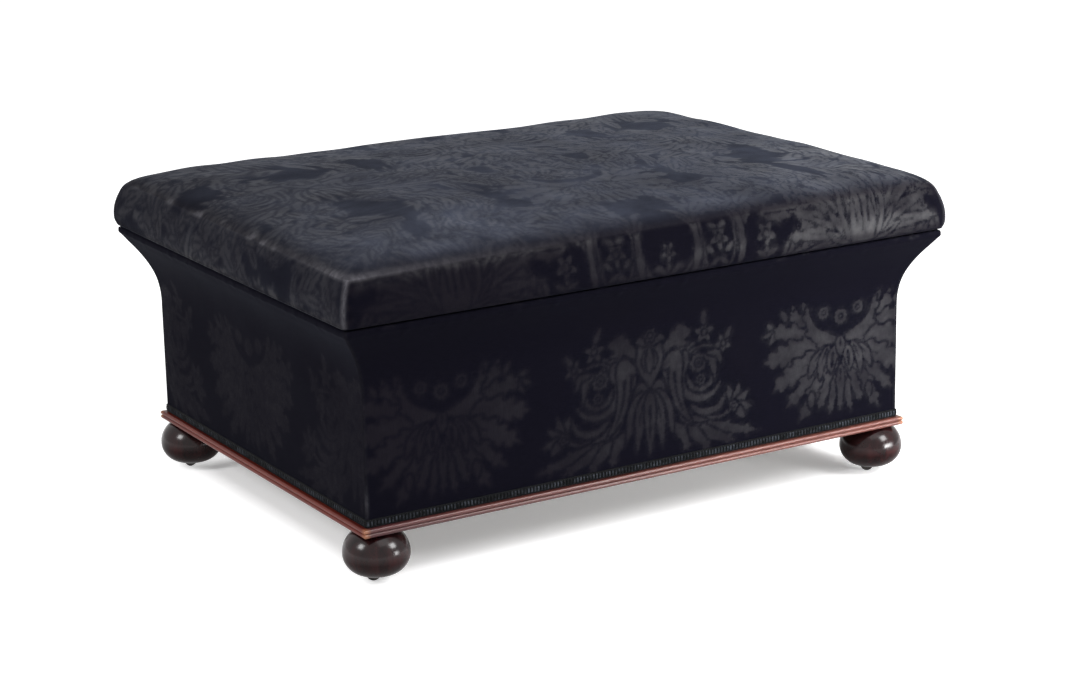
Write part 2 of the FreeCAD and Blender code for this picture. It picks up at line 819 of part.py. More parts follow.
panels()
bottom_boards()
foot_blocks()
cove_rails()
covers()
braid()
base_mouldings()
box_lining()
feet_and_casters()
lid_rails()
lid_webbing()
lid_soft_parts()
hinges()
lid_stays()
hardware_screws()
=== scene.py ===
import math

import bpy
import numpy as np
from mathutils import Matrix, Vector


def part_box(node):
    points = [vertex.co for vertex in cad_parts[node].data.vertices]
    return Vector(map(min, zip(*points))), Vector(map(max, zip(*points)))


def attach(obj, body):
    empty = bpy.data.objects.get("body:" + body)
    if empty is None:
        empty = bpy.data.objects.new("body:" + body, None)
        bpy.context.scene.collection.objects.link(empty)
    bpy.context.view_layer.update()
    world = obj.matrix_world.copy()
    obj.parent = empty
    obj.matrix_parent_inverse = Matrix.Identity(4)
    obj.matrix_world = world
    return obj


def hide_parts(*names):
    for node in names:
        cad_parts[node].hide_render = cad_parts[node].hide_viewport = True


# Box ottoman in black figured damask. Metres, in the frame of the CAD model: +X is the length, the hinges are
# at +Y, and the floor is at zero. Tables of the cloth's figure are in millimetres.

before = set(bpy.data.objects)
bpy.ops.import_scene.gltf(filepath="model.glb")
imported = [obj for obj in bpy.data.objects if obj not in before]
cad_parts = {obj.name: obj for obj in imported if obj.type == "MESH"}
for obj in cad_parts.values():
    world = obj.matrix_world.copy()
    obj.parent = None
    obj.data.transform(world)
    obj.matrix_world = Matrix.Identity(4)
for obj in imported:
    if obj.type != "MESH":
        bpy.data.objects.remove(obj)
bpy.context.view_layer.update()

MM = 0.001

# Sizes read from the CAD nodes
front_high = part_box("front_cover")[1]
panel_low, panel_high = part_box("front_panel")
lid_low, lid_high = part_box("lid_cover")
lining_low, lining_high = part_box("box_lining")
lid_lining_low, lid_lining_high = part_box("lid_lining")
braid_low, braid_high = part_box("gimp_braid")
webbing_low, webbing_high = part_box("lid_webbing")
pin_low, pin_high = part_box("hinge_pins")
hessian_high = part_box("lid_hessian")[1]
moulding_tip_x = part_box("right_base_moulding")[1].x
moulding_tip_y = -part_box("front_base_moulding")[0].y
carcass_bottom = panel_low.z
carcass_top = panel_high.z
box_top = front_high.z
hinge_height = (pin_low.z + pin_high.z) / 2
half_depth = (pin_low.y + pin_high.y) / 2

# Sizes that the CAD model is built from
lip_inset = 1.0 * MM
cloth_inset = 45.0 * MM
inner_inset = 65.0 * MM
cove_radius = 150.0 * MM
lip_height = 8.0 * MM
lid_height = 98.5 * MM
lid_turn_under = 26.0 * MM
lid_corner_radius = 7.0 * MM
crown_corner_share = 0.9
side_bow = 1.5 * MM
hinge_offset = 300.0 * MM
hinge_notch_half = 30.9 * MM
hinge_notch_reach = 4.9 * MM
leaf_room_depth = 34.9 * MM
half_length = front_high.x + lip_inset

# Outline of the stuffed lid: inset in half depths, height in lid heights
shoulder_shares = (0.0250, 0.637)
lid_outline_shares = [
    (-0.0050, 0.0), (-0.0130, 0.08), (-0.0150, 0.17), (-0.0125, 0.28), (-0.0060, 0.38), (0.0035, 0.48),
    (0.0120, 0.565), shoulder_shares, (0.0500, 0.710), (0.0950, 0.785), (0.1550, 0.832), (0.2300, 0.868),
    (0.3300, 0.902), (0.4500, 0.934), (0.6000, 0.966), (0.7500, 0.988), (0.8900, 1.0)]

# Camera, as the photograph was taken
camera_place = Vector((-2.054975, -3.458455, 1.321624))
camera_yaw = math.radians(-31.025064)
camera_pitch = math.radians(15.702018)
camera_roll = math.radians(-1.1064995)
photo_width = 1080
focal_pixels = 2727.80
sensor_width = 36.0


# Mesh helpers

weld_step = 2e-6
wave_spread = (0.75, 1.6)


def smooth_path(points, count):
    """Points on a smooth curve through the given ones."""
    p = np.array(points, float)
    ends = np.vstack([2 * p[0] - p[1], p, 2 * p[-1] - p[-2]])
    steps = np.linspace(0, len(p) - 1, count)
    first = np.minimum(steps.astype(int), len(p) - 2)
    f = (steps - first)[:, None]
    a, b, c, d = ends[first], ends[first + 1], ends[first + 2], ends[first + 3]
    curve = (2 * a - 5 * b + 4 * c - d) * f ** 2 + (3 * b - 3 * c + d - a) * f ** 3
    return 0.5 * (2 * b + (c - a) * f + curve)


def path_lengths(path):
    return np.concatenate([[0], np.cumsum(np.linalg.norm(np.diff(path, axis=0), axis=1))])


def resample(path, step):
    """The same path with points about a step apart."""
    path = np.array(path, float)
    lengths = path_lengths(path)
    count = max(2, int(round(lengths[-1] / step)) + 1)
    at = np.linspace(0, lengths[-1], count)
    return np.stack([np.interp(at, lengths, path[:, k]) for k in range(path.shape[1])], axis=1)


def lumps(x, y, wave, seed, count=12):
    """Smooth unevenness between about -1 and 1, with features about one wavelength across."""
    rng = np.random.default_rng(seed)
    total = np.zeros(np.broadcast(x, y).shape)
    for _ in range(count):
        turn = rng.uniform(0, math.tau)
        k = math.tau / (wave * rng.uniform(*wave_spread))
        total += np.sin(k * (x * math.cos(turn) + y * math.sin(turn)) + rng.uniform(0, math.tau))
    return total / math.sqrt(count)


def smoothstep(low, high, value):
    t = np.clip((value - low) / (high - low), 0, 1)
    return t * t * (3 - 2 * t)


def plateau(value, start, full, fade, end):
    """Rises from 0 to 1 between start and full, and falls again between fade and end."""
    return smoothstep(start, full, value) * smoothstep(end, fade, value)


def bell(distance, width):
    return np.exp(-(distance / width) ** 2)


def stacked(*parts):
    return np.stack(np.broadcast_arrays(*parts), axis=-1)


def middles(values):
    return (values[:-1, :-1] + values[1:, :-1] + values[:-1, 1:] + values[1:, 1:]) / 4


def new_object(name, data):
    obj = bpy.data.objects.new(name, data)
    bpy.context.scene.collection.objects.link(obj)
    return obj


class Patchwork:
    """A mesh of rectangular patches whose shared edges are welded, with values for each face corner."""

    def __init__(self):
        self.points = []
        self.faces = []
        self.values = {}
        self.count = 0

    def add(self, points, flip=False, keep=None, **values):
        rows, columns = points.shape[:2]
        index = np.arange(rows * columns).reshape(rows, columns)
        quads = stacked(index[:-1, :-1], index[:-1, 1:], index[1:, 1:], index[1:, :-1]).reshape(-1, 4)
        if flip:
            quads = quads[:, ::-1]
        if keep is not None:
            quads = quads[keep.reshape(-1)]
        self.points.append(points.reshape(-1, 3))
        self.faces.append(quads + self.count)
        for name, value in values.items():
            flat = value.reshape(rows * columns, -1)
            self.values.setdefault(name, []).append(flat[quads.reshape(-1)])
        self.count += rows * columns

    def build(self, name):
        points = np.vstack(self.points)
        unique, first, inverse = np.unique(np.round(points / weld_step).astype(np.int64), axis=0,
                                           return_index=True, return_inverse=True)
        faces = inverse.reshape(-1)[np.vstack(self.faces)]
        used = np.unique(faces)
        renumber = np.zeros(len(unique), int)
        renumber[used] = np.arange(len(used))
        mesh = bpy.data.meshes.new(name)
        mesh.from_pydata(points[first][used].tolist(), [], renumber[faces].tolist())
        for key, parts in self.values.items():
            data = np.vstack(parts).astype(np.float32)
            kind = "FLOAT" if data.shape[1] == 1 else "FLOAT_VECTOR"
            attribute = mesh.attributes.new(key, kind, "CORNER")
            attribute.data.foreach_set("value" if kind == "FLOAT" else "vector", data.reshape(-1))
        mesh.polygons.foreach_set("use_smooth", np.ones(len(mesh.polygons), bool))
        mesh.update()
        return new_object(name, mesh)


def dress(obj, material, body, slot, *nodes):
    obj.data.materials.clear()
    obj.data.materials.append(material)
    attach(obj, body)
    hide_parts(*nodes)


# The damask's figure: upright motifs, each its own mirror image, that change places from row to row. It is
# drawn leaf by leaf as a signed distance, and each new shape leaves a narrow groove of ground round it.

figure_step = 0.6
figure_column = 341.0
figure_row = 292.0
lid_figure_length = 1010.0
figure_floor = -8.0
cover_groove = 2.6
lid_groove = 1.5
vein = 2.0
leaf_tip_radius = 0.3
leaf_roundness = 0.7
lobed_leaf_share = 0.72
lobe_first_share, lobe_last_share, lobe_alone_share = 0.30, 0.85, 0.55
lobe_ahead, lobe_aside = 0.75, 0.85
lobe_length_share, lobe_width_share = 0.62, 0.20
band_end_share, band_taper_share = 0.4, 0.35


class Figure:
    """Half of a mirrored repeat of the cloth, as a field of signed distances in millimetres."""

    def __init__(self, low, high, groove):
        self.groove = groove
        self.x = np.arange(0, figure_column + figure_step, figure_step)
        self.y = np.arange(low, high + figure_step, figure_step)
        self.field = np.full((len(self.y), len(self.x)), figure_floor)
        self.axis = 0.0
        self.way = 1.0
        self.up = 0.0

    def discs(self, centres, radii):
        """Signed distance of discs and their mirror images about the motif's axis, and where it counts."""
        centres = np.asarray(centres, float)
        places = []
        for side in (1, -1):
            for (across, up), radius in zip(centres, radii):
                x0 = self.axis + self.way * side * across
                places.append((x0, self.up + up, radius, radius - figure_floor))
        p = np.array(places)
        low = (p[:, :2] - p[:, 3:]).min(axis=0)
        high = (p[:, :2] + p[:, 3:]).max(axis=0)
        i0, i1 = np.searchsorted(self.x, (low[0], high[0]))
        j0, j1 = np.searchsorted(self.y, (low[1], high[1]))
        f = np.full((j1 - j0, i1 - i0), figure_floor)
        for x0, y0, radius, reach in places:
            a0, a1 = np.searchsorted(self.x[i0:i1], (x0 - reach, x0 + reach))
            b0, b1 = np.searchsorted(self.y[j0:j1], (y0 - reach, y0 + reach))
            if a0 < a1 and b0 < b1:
                dx = self.x[None, i0 + a0:i0 + a1] - x0
                dy = self.y[j0 + b0:j0 + b1, None] - y0
                f[b0:b1, a0:a1] = np.maximum(f[b0:b1, a0:a1], radius - np.hypot(dx, dy))
        return (slice(j0, j1), slice(i0, i1)), f

    def paint(self, shape):
        where, f = shape
        self.field[where] = np.maximum(f, np.minimum(self.field[where], -f - self.groove))

    def cut(self, shape):
        where, f = shape
        self.field[where] = np.minimum(self.field[where], -f)

    def slit(self, points, wide, narrow):
        count = 24
        self.cut(self.discs(smooth_path(points, count), np.linspace(wide, narrow, count)))

    def leaf(self, points, width, lobes=0, vein_share=0.0, skew=0.75):
        """A leaf along a curve, with pairs of lobes at its sides and a vein up to a share of its length."""
        count = 30
        path = smooth_path(points, count)
        t = np.linspace(0, 1, count)
        profile = np.sin(np.pi * t ** skew) ** leaf_roundness
        body_share = lobed_leaf_share if lobes else 1.0
        centres, sizes = [path], [0.5 * width * profile * body_share + leaf_tip_radius]
        tangent = np.gradient(path, axis=0)
        tangent /= np.linalg.norm(tangent, axis=1)[:, None]
        places = [lobe_alone_share] * lobes
        if lobes > 1:
            places = np.linspace(lobe_first_share, lobe_last_share, lobes)
        for place in places:
            at = int(place * (count - 1))
            for side in (1, -1):
                across = np.array([-tangent[at][1], tangent[at][0]]) * side
                way = tangent[at] * lobe_ahead + across * lobe_aside
                way /= np.linalg.norm(way)
                along = np.linspace(0, 1, 7)
                centres.append(path[at] + way * (along * width * lobe_length_share * profile[at])[:, None])
                sizes.append(width * lobe_width_share * np.sin(np.pi * (0.25 + 0.72 * along)) ** 0.8)
        self.paint(self.discs(np.vstack(centres), np.concatenate(sizes)))
        if vein_share:
            end = max(2, int(vein_share * count))
            self.slit(path[3:end:4], vein * 0.6, vein * 0.25)

    def band(self, points, width, inner=0.0):
        count = 40
        path = smooth_path(points, count)
        t = np.linspace(0, 1, count)
        from_end = np.minimum(t, 1 - t)
        share = np.minimum(1, band_end_share + from_end / band_taper_share)
        self.paint(self.discs(path, 0.5 * width * share))
        if inner:
            self.cut(self.discs(path[4:-4], 0.5 * inner * share[4:-4]))

    def flower(self, place, radius, petals, depth, ring_share=0.34, turn=0.0):
        for side in (1, -1) if place[0] else (1,):
            x0 = self.axis + self.way * side * place[0]
            y0 = self.up + place[1]
            reach = radius - figure_floor
            i0, i1 = np.searchsorted(self.x, (x0 - reach, x0 + reach))
            j0, j1 = np.searchsorted(self.y, (y0 - reach, y0 + reach))
            if i0 == i1 or j0 == j1:
                continue
            dx = (self.x[None, i0:i1] - x0) * self.way * side
            dy = self.y[j0:j1, None] - y0
            r = np.hypot(dx, dy)
            a = np.arctan2(dy, dx) + turn
            where = (slice(j0, j1), slice(i0, i1))
            self.paint((where, radius * (1 - depth * (0.5 - 0.5 * np.cos(petals * a))) - r))
            self.cut((where, vein * 0.5 - np.abs(r - radius * ring_share)))


def draw_burst(g):
    """A fan of lobed leaves under three daisies."""
    for base, tip in (((100, 76), (110, 92)), ((84, 80), (91, 97)), ((66, 84), (72, 99)),
                      ((122, 62), (136, 76)), ((122, 60), (143, 56)), ((120, 58), (131, 44))):
        g.leaf([base, tip], 9, skew=0.68)
    for points, width, lobes, vein_share in (
            ([(34, 34), (66, 62), (94, 88)], 30, 3, 0.0),
            ([(30, 30), (76, 46), (124, 66)], 38, 3, 0.0), ([(22, 22), (80, 26), (140, 16)], 42, 4, 0.0),
            ([(16, 12), (68, 0), (124, -28)], 40, 4, 0.55), ([(10, 8), (52, -20), (100, -58)], 32, 3, 0.0),
            ([(8, 2), (40, -34), (74, -84)], 33, 3, 0.0), ([(6, 0), (24, -36), (40, -70)], 23, 3, 0.0),
            ([(6, 36), (42, 46), (66, 90)], 34, 3, 0.0), ([(2, -12), (12, -46), (20, -82)], 19, 2, 0.5),
            ([(0, -8), (0, -40), (0, -80)], 18, 2, 0.5), ([(28, 18), (46, 6), (58, -18)], 15, 0, 0.6),
            ([(22, 24), (34, 2), (38, -26)], 13, 0, 0.6), ([(4, 22), (16, 4), (17, -18)], 17, 0, 0.0)):
        g.leaf(points, width, lobes, vein_share)
    g.slit([(14, 12), (16, -8)], 2.2, 2.2)
    g.leaf([(53, -44), (54, -66)], 12)
    g.leaf([(0, 36), (0, 8)], 15, 0, 0.6)
    g.slit([(0, 44), (16, 50), (40, 62), (54, 82)], 9, 6)
    g.flower((0, 67), 12.5, 10, 0.12, 0.3)
    g.flower((32, 77), 10.5, 9, 0.12)


def draw_vase(g):
    """A pear-shaped urn over a fan of leaves, between drooping leaves, scrolls and small flowers."""
    for points, width, lobes in (
            ([(60, -44), (120, -66), (192, -82)], 26, 3), ([(60, -50), (104, -72), (150, -92)], 24, 2),
            ([(52, -50), (80, -70), (104, -96)], 24, 2), ([(40, -48), (56, -64), (66, -92)], 22, 2),
            ([(10, 52), (40, 66), (60, 96)], 44, 3), ([(14, 44), (50, 52), (84, 62)], 34, 2)):
        g.leaf(points, width, lobes)
    g.band([(60, 50), (84, 62), (120, 58)], 4)
    g.flower((94, 82), 17, 5, 0.5, 0.3, turn=-1.57)
    g.leaf([(93, 96), (88, 118)], 10)
    g.flower((128, 60), 15, 5, 0.5, 0.3, turn=0.5)
    g.leaf([(132, 68), (142, 84)], 9)
    g.band([(100, -48), (124, -50), (150, -36)], 5)
    for tip in ((136, -6), (156, -6), (172, -20), (180, -44), (166, -58)):
        g.leaf([(148, -38), tip], 13)
    g.flower((146, -38), 9, 5, 0.3, 0.4)
    g.band([(36, 56), (30, 30), (46, 4), (52, -18), (60, -40), (84, -54)], 15, inner=2.0)
    g.band([(48, 50), (60, 56), (62, 40), (54, 26), (56, 8), (66, -8), (86, -16), (108, -12), (122, 2)], 11)
    g.band([(64, 20), (72, 4), (90, -2), (106, 6), (108, 16)], 8)
    g.flower((88, 12), 9, 7, 0.2, 0.4)
    g.leaf([(70, -24), (92, -38), (120, -34), (132, -14)], 15, 2)
    g.leaf([(58, -26), (74, -44), (100, -52)], 13, 1)
    g.flower((84, 38), 15, 8, 0.14, 0.45)
    g.slit([(84, 38), (84, 37)], 2.2, 2.2)
    g.leaf([(98, 46), (108, 40), (114, 6)], 19, 1, skew=0.6)
    g.leaf([(100, 50), (118, 46), (124, 30)], 9)
    g.leaf([(24, 40), (44, 52), (44, 16), (52, -20), (74, -52)], 22, skew=0.68)
    g.slit([(42, 30), (46, 0), (56, -28)], 2.0, 0.8)
    g.leaf([(4, 8), (26, -14), (40, -62)], 20)
    g.leaf([(3, 6), (16, -24), (22, -78)], 18, 0, 0.7)
    g.leaf([(0, 6), (0, -30), (0, -86)], 19)
    g.slit([(0, -14), (0, -60)], 2.2, 0.8)
    g.slit([(26, -20), (32, -46)], 1.8, 0.8)
    g.leaf([(6, 14), (16, 18), (26, 8)], 11)
    urn = smooth_path([(0, 72), (0, 50), (0, 32), (0, 18)], 30)
    g.paint(g.discs(urn, np.interp(np.linspace(0, 1, 30), [0, 0.25, 0.6, 1], [20, 23, 13, 3])))
    g.leaf([(6, 80), (14, 86), (24, 84)], 12)
    g.slit([(8, 70), (14, 56), (8, 40)], 1.1, 1.1)
    g.leaf([(0, 38), (0, 74)], 12)
    g.flower((0, 92), 11, 6, 0.25, 0.42)


def draw_cover_figure():
    g = Figure(-figure_row / 2, figure_row / 2, cover_groove)
    draw_burst(g)
    g.axis, g.way = figure_column, -1.0
    draw_vase(g)
    return g


# Plain patches of the lid's cloth: place across and up, and half sizes
lid_plain_patches = [
    (0, 108, 46, 34), (0, 60, 34, 70), (160, 24, 32, 28), (133, 252, 20, 54), (341, 318, 26, 50),
    (205, 574, 24, 54), (265, 446, 16, 18), (62, 556, 18, 40), (84, 426, 12, 18), (341, 640, 22, 46),
    (120, 760, 20, 46), (250, 860, 22, 40), (0, 700, 16, 40)]
leaf_spacing_across, leaf_spacing_up, leaf_scatter = 28, 24, 9
leaf_lengths = (44, 76)
leaf_widths = (20, 32)
leaf_bends = (-0.35, 0.35)
leaf_turns = (-0.75, 0.75)
flower_sizes = (9, 14)
plain_margin = 4
hanging_share = 0.25
flower_share = 0.10


def fill_with_leaves(g):
    """Lobed leaves close together, following stems that swing from axis to axis, round the plain patches."""
    rng = np.random.default_rng(12)
    spots = [(u, v) for v in np.arange(-6, lid_figure_length, leaf_spacing_up)
             for u in np.arange(6, figure_column, leaf_spacing_across)]
    for k in rng.permutation(len(spots)):
        u, v = spots[k] + rng.uniform(-leaf_scatter, leaf_scatter, 2)
        swing = math.sin(math.pi * u / figure_column) * math.sin(math.tau * v / figure_row + 0.6)
        angle = swing + rng.uniform(*leaf_turns) + (math.pi if rng.uniform() < hanging_share else 0.0)
        length = rng.uniform(*leaf_lengths)
        bend = rng.uniform(*leaf_bends)
        way = np.array([math.sin(angle), math.cos(angle)])
        aside = np.array([way[1], -way[0]])
        path = [np.array([u, v]) + way * length * (t - 0.5) + aside * length * bend * t * (1 - t)
                for t in (0.0, 0.5, 1.0)]
        ends = np.array([path[0] * (1 - t) + path[2] * t for t in np.linspace(0, 1, 7)])
        if any(np.any(np.hypot(*((ends - patch[:2]) / (np.array(patch[2:]) + plain_margin)).T) < 1)
               for patch in lid_plain_patches):
            continue
        g.leaf(path, rng.uniform(*leaf_widths), int(rng.integers(1, 4)), 0.62, 0.7)
        if rng.uniform() < flower_share:
            g.flower((u, v), rng.uniform(*flower_sizes), int(rng.integers(5, 9)), 0.3)


def draw_shields(g):
    """Over the front joint: two shields beside a small plant, between upright bands, and a star outside."""
    g.band([(30, 78), (47, 64), (50, 34), (40, -12)], 13)
    g.band([(112, 80), (124, 62), (126, 30), (118, -12)], 11)
    g.paint(g.discs([(86, 20 + 4 * t) for t in range(10)], np.linspace(27, 31, 10)))
    g.cut(g.discs([(86, 22 + 4 * t) for t in range(9)], np.linspace(23, 27, 9)))
    g.flower((86, 40), 17, 5, 0.55, 0.3, turn=1.57)
    for points in ([(86, 14), (70, 4)], [(86, 14), (102, 4)], [(72, 58), (86, 52)], [(100, 58), (86, 52)],
                   [(64, 30), (76, 22)], [(108, 30), (96, 22)]):
        g.leaf(points, 8)
    g.leaf([(60, 72), (82, 84), (104, 74)], 15, 1, 0.6)
    g.leaf([(46, 66), (58, 96), (52, 128)], 28, 3, 0.6)
    g.leaf([(60, 84), (88, 108), (100, 142)], 30, 3, 0.6)
    g.leaf([(44, 74), (30, 96), (18, 100)], 15, 2)
    g.leaf([(0, -8), (0, 20)], 11)
    g.leaf([(4, 2), (16, 12), (26, 10)], 10)
    g.flower((0, 32), 13, 5, 0.5, 0.35, turn=1.57)
    g.flower((168, 34), 17, 5, 0.5, 0.35, turn=1.57)
    g.leaf([(168, 18), (168, -10)], 9)
    g.leaf([(166, 6), (150, 14)], 8)
    g.leaf([(170, 6), (186, 14)], 8)


def draw_palmette(g):
    """A dome of long petals round a cup, seen over the front joint between the shields."""
    for angle, length in ((1.75, 132), (1.5, 142), (1.25, 138), (1.02, 130), (0.8, 124), (0.58, 126),
                          (0.38, 128), (0.19, 130), (0.0, 132)):
        tip = (length * math.sin(angle), 14 + length * math.cos(angle))
        middle = (0.5 * tip[0] + 5 * math.cos(angle), 0.5 * tip[1] + 10)
        g.leaf([(10 * math.sin(angle), 14), middle, tip], 25, 2, 0.75)
    for angle, length in ((1.3, 70), (0.95, 74), (0.62, 76), (0.32, 78)):
        tip = (length * math.sin(angle), 4 + length * math.cos(angle))
        g.leaf([(6, 4), (0.5 * tip[0] + 6, 0.5 * tip[1]), tip], 15, 0, 0.8)
    g.band([(30, 84), (38, 50), (26, 14), (0, -2)], 9)
    g.leaf([(0, -4), (0, 34), (0, 82)], 46, 0)
    g.slit([(0, 20), (0, 66)], 1.5, 0.8)
    g.slit([(10, 30), (13, 60)], 1.3, 0.8)


def draw_lid_figure():
    g = Figure(-20.0, lid_figure_length, lid_groove)
    fill_with_leaves(g)
    g.axis, g.way, g.up = 0.0, 1.0, 240.0
    draw_burst(g)
    g.axis, g.way, g.up = figure_column, -1.0, 470.0
    draw_vase(g)
    g.axis, g.way, g.up = 0.0, 1.0, 610.0
    draw_vase(g)
    g.axis, g.way, g.up = figure_column, -1.0, 760.0
    draw_burst(g)
    g.up = 0.0
    draw_palmette(g)
    g.axis, g.way = 0.0, 1.0
    draw_shields(g)
    return g


cover_figure = draw_cover_figure()
lid_figure = draw_lid_figure()


def figure_at(figure, u, v):
    """A figure's signed distance, at places across from its first axis and up the cloth, in millimetres."""
    x = np.abs((u + figure_column) % (2 * figure_column) - figure_column)
    i = np.clip(x / figure_step, 0, len(figure.x) - 1.001)
    j = np.clip((v - figure.y[0]) / figure_step, 0, len(figure.y) - 1.001)
    i0 = i.astype(int)
    j0 = j.astype(int)
    a = i - i0
    b = j - j0
    f = figure.field
    low, high = (f[j, i0] * (1 - a) + f[j, i0 + 1] * a for j in (j0, j0 + 1))
    return low * (1 - b) + high * b


def cover_figure_at(u, v):
    """The covers' figure, at places in metres from a burst's middle. Its motifs swap from row to row."""
    u = u / MM
    v = v / MM
    row = np.floor(v / figure_row + 0.5)
    return figure_at(cover_figure, u + figure_column * (row % 2), v - row * figure_row)


def lid_figure_at(u, v):
    """The lid's figure, at places in metres from the shields' axis and from the front joint."""
    return figure_at(lid_figure, u / MM, v / MM)


# Materials

class Value:
    """A node's output, which can be added, subtracted, multiplied and mapped to another range."""

    def __init__(self, nodes, socket):
        self.nodes = nodes
        self.socket = socket

    def __add__(self, other):
        return self.nodes.math("ADD", self, other)

    def __sub__(self, other):
        return self.nodes.math("SUBTRACT", self, other)

    def __mul__(self, other):
        return self.nodes.math("MULTIPLY", self, other)

    def __abs__(self):
        return self.nodes.math("ABSOLUTE", self)

    def to(self, a, b, low, high):
        """Mapped from between a and b to between low and high, and held there."""
        return self.nodes.value("MapRange", i0=self, i1=a, i2=b, i3=low, i4=high)


class Nodes:
    """Builds a node tree. A number, a colour or a value can be given for any input."""

    def __init__(self, owner, output="OutputMaterial"):
        owner.use_nodes = True
        self.owner = owner
        self.tree = owner.node_tree
        self.tree.nodes.clear()
        self.surface = self.add(output).inputs["Surface"]

    def put(self, socket, value):
        if isinstance(value, Value):
            self.tree.links.new(value.socket, socket)
        elif isinstance(value, tuple):
            socket.default_value = value + (1.0,) * (len(socket.default_value) - len(value))
        else:
            socket.default_value = value

    def add(self, kind, settings=None, **inputs):
        node = self.tree.nodes.new("ShaderNode" + kind)
        for key, value in (settings or {}).items():
            setattr(node, key, value)
        for key, value in inputs.items():
            self.put(node.inputs[int(key[1:]) if key[1:].isdigit() else key.replace("_", " ")], value)
        return node

    def value(self, kind, settings=None, output=0, **inputs):
        return Value(self, self.add(kind, settings, **inputs).outputs[output])

    def math(self, operation, a, b=0.0, c=0.0):
        return self.value("Math", {"operation": operation}, i0=a, i1=b, i2=c)

    def attribute(self, name, output="Fac"):
        return self.value("Attribute", {"attribute_name": name}, output)

    def scaled(self, vector, scale):
        return self.value("Mapping", Vector=vector, Scale=scale)

    def place(self, scale=(1, 1, 1)):
        return self.scaled(self.value("TexCoord", output="Object"), scale)

    def parts(self, vector):
        return [Value(self, part) for part in self.add("SeparateXYZ", Vector=vector).outputs]

    def noise(self, vector, scale, detail=3.0, rough=0.55):
        return self.value("TexNoise", output="Fac", Vector=vector, Scale=scale, Detail=detail,
                          Roughness=rough)

    def streaks(self, vector, scales, detail=2.0, rough=0.55):
        return self.noise(self.scaled(vector, scales), 1.0, detail, rough)

    def mix(self, share, a, b):
        return self.value("Mix", {"data_type": "RGBA"}, 2, i0=share, i6=a, i7=b)

    def between(self, share, a, b):
        return self.value("Mix", {"data_type": "FLOAT"}, i0=share, i2=a, i3=b)

    def waves(self, coordinate, pitch):
        """A sine along a coordinate, from 0 to 1."""
        return self.math("MULTIPLY_ADD", self.math("SINE", coordinate * (math.tau / pitch)), 0.5, 0.5)

    def bump(self, height, strength, distance):
        return self.value("Bump", Height=height, Strength=strength, Distance=distance)

    def seen_directly(self):
        """1 for camera, glossy and transmission rays, which see the background white, and 0 for the rest."""
        path = self.add("LightPath")
        seen, glossy, through = [Value(self, path.outputs["Is " + kind + " Ray"])
                                 for kind in ("Camera", "Glossy", "Transmission")]
        return self.math("MAXIMUM", self.math("MAXIMUM", seen, glossy), through)

    def show(self, shader):
        self.put(self.surface, shader)
        return self.owner

    def finish(self, **inputs):
        return self.show(self.value("BsdfPrincipled", **inputs))


def nodes_for(name):
    return Nodes(bpy.data.materials.new(name))


def darker(colour, share):
    return tuple(c * share for c in colour)


ground_rib_pitch = 0.75 * MM
satin_float_pitch = 0.5 * MM
weave_depth = 0.2 * MM
soft_edge_from, soft_edge_to = -250.0 * MM, 220.0 * MM


def damask():
    """Matt ribbed ground and glossy satin figure, read from the figure kept on the cloth."""
    n = nodes_for("damask")
    figure = n.attribute("figure")
    cloth = n.attribute("cloth", "Vector")
    u, v = n.parts(cloth)[:2]
    x = n.parts(n.place())[0]
    ragged = n.noise(cloth, 420.0, 2.0).to(0.3, 0.7, -0.9, 0.9)
    ragged = ragged + n.noise(cloth, 95.0, 3.0, 0.6).to(0.3, 0.7, -1.5, 1.3)
    soft = x.to(soft_edge_from, soft_edge_to, 3.0, 1.2)
    satin = (figure + ragged).to(soft * -1.0, soft, 0.0, 1.0)
    specks = n.noise(cloth, 75.0, 4.0, 0.65).to(0.44, 0.60, 0.0, 1.0)
    satin = n.math("MAXIMUM", satin, figure.to(-7.5, -1.0, 0.0, 0.46) * specks)
    slubs = n.streaks(cloth, (90, 1400, 1)).to(0.3, 0.7, 0.0, 1.0)
    ground = n.mix(slubs, (0.0017, 0.0016, 0.0041), (0.0029, 0.0027, 0.0060))
    threads = n.streaks(cloth, (1700, 70, 1)).to(0.3, 0.7, 0.0, 1.0)
    colour = n.mix(satin, ground, n.mix(threads, (0.0024, 0.0019, 0.0043), (0.0048, 0.0038, 0.0070)))
    patches = n.noise(cloth, 9.0, 4.0)
    colour = n.mix(patches.to(0.40, 0.75, 0.0, 0.25), colour, (0.0055, 0.0051, 0.0078))
    # Painted sheen: the lid's top and left side are lightened towards a pale blue grey.
    faded = n.attribute("faded") * n.noise(cloth, 22.0, 4.0, 0.62).to(0.3, 0.7, 0.55, 1.2)
    colour = n.mix(faded, colour, (0.049, 0.055, 0.078))
    # Wear and painted highlight: real wear at the cover seams and kicked corners, and partly painted
    # highlight along the lid's crest and corner seams.
    worn = n.attribute("wear") * n.noise(cloth, 130.0, 3.0).to(0.35, 0.65, 0.55, 1.0)
    colour = n.mix(worn, colour, (0.125, 0.121, 0.137))
    weave = n.between(satin, n.waves(v, ground_rib_pitch), n.waves(u, satin_float_pitch))
    weave = weave + n.noise(cloth, 260.0, 3.0, 0.7) * 0.6
    rough = n.between(satin, 0.85, 0.6) + patches.to(0.3, 0.7, -0.04, 0.05)
    plump = figure.to(-1.0, 4.5, 0.62, 0.92)
    mottle = n.noise(cloth, 70.0, 3.0, 0.6).to(0.3, 0.7, 0.55, 1.25)
    rubbed = n.noise(cloth, 17.0, 4.0, 0.6).to(0.34, 0.66, 0.50, 1.35)
    gloss = satin * n.attribute("gloss") * (plump * mottle * rubbed)
    return n.finish(Base_Color=colour, Roughness=rough, Coat_Weight=gloss, Coat_Roughness=0.42,
                    Normal=n.bump(weave * 0.35 + satin * 0.5, 0.35, weave_depth), Specular_IOR_Level=0.03,
                    Sheen_Weight=0.022, Sheen_Roughness=0.30, Sheen_Tint=(0.60, 0.74, 1.0))


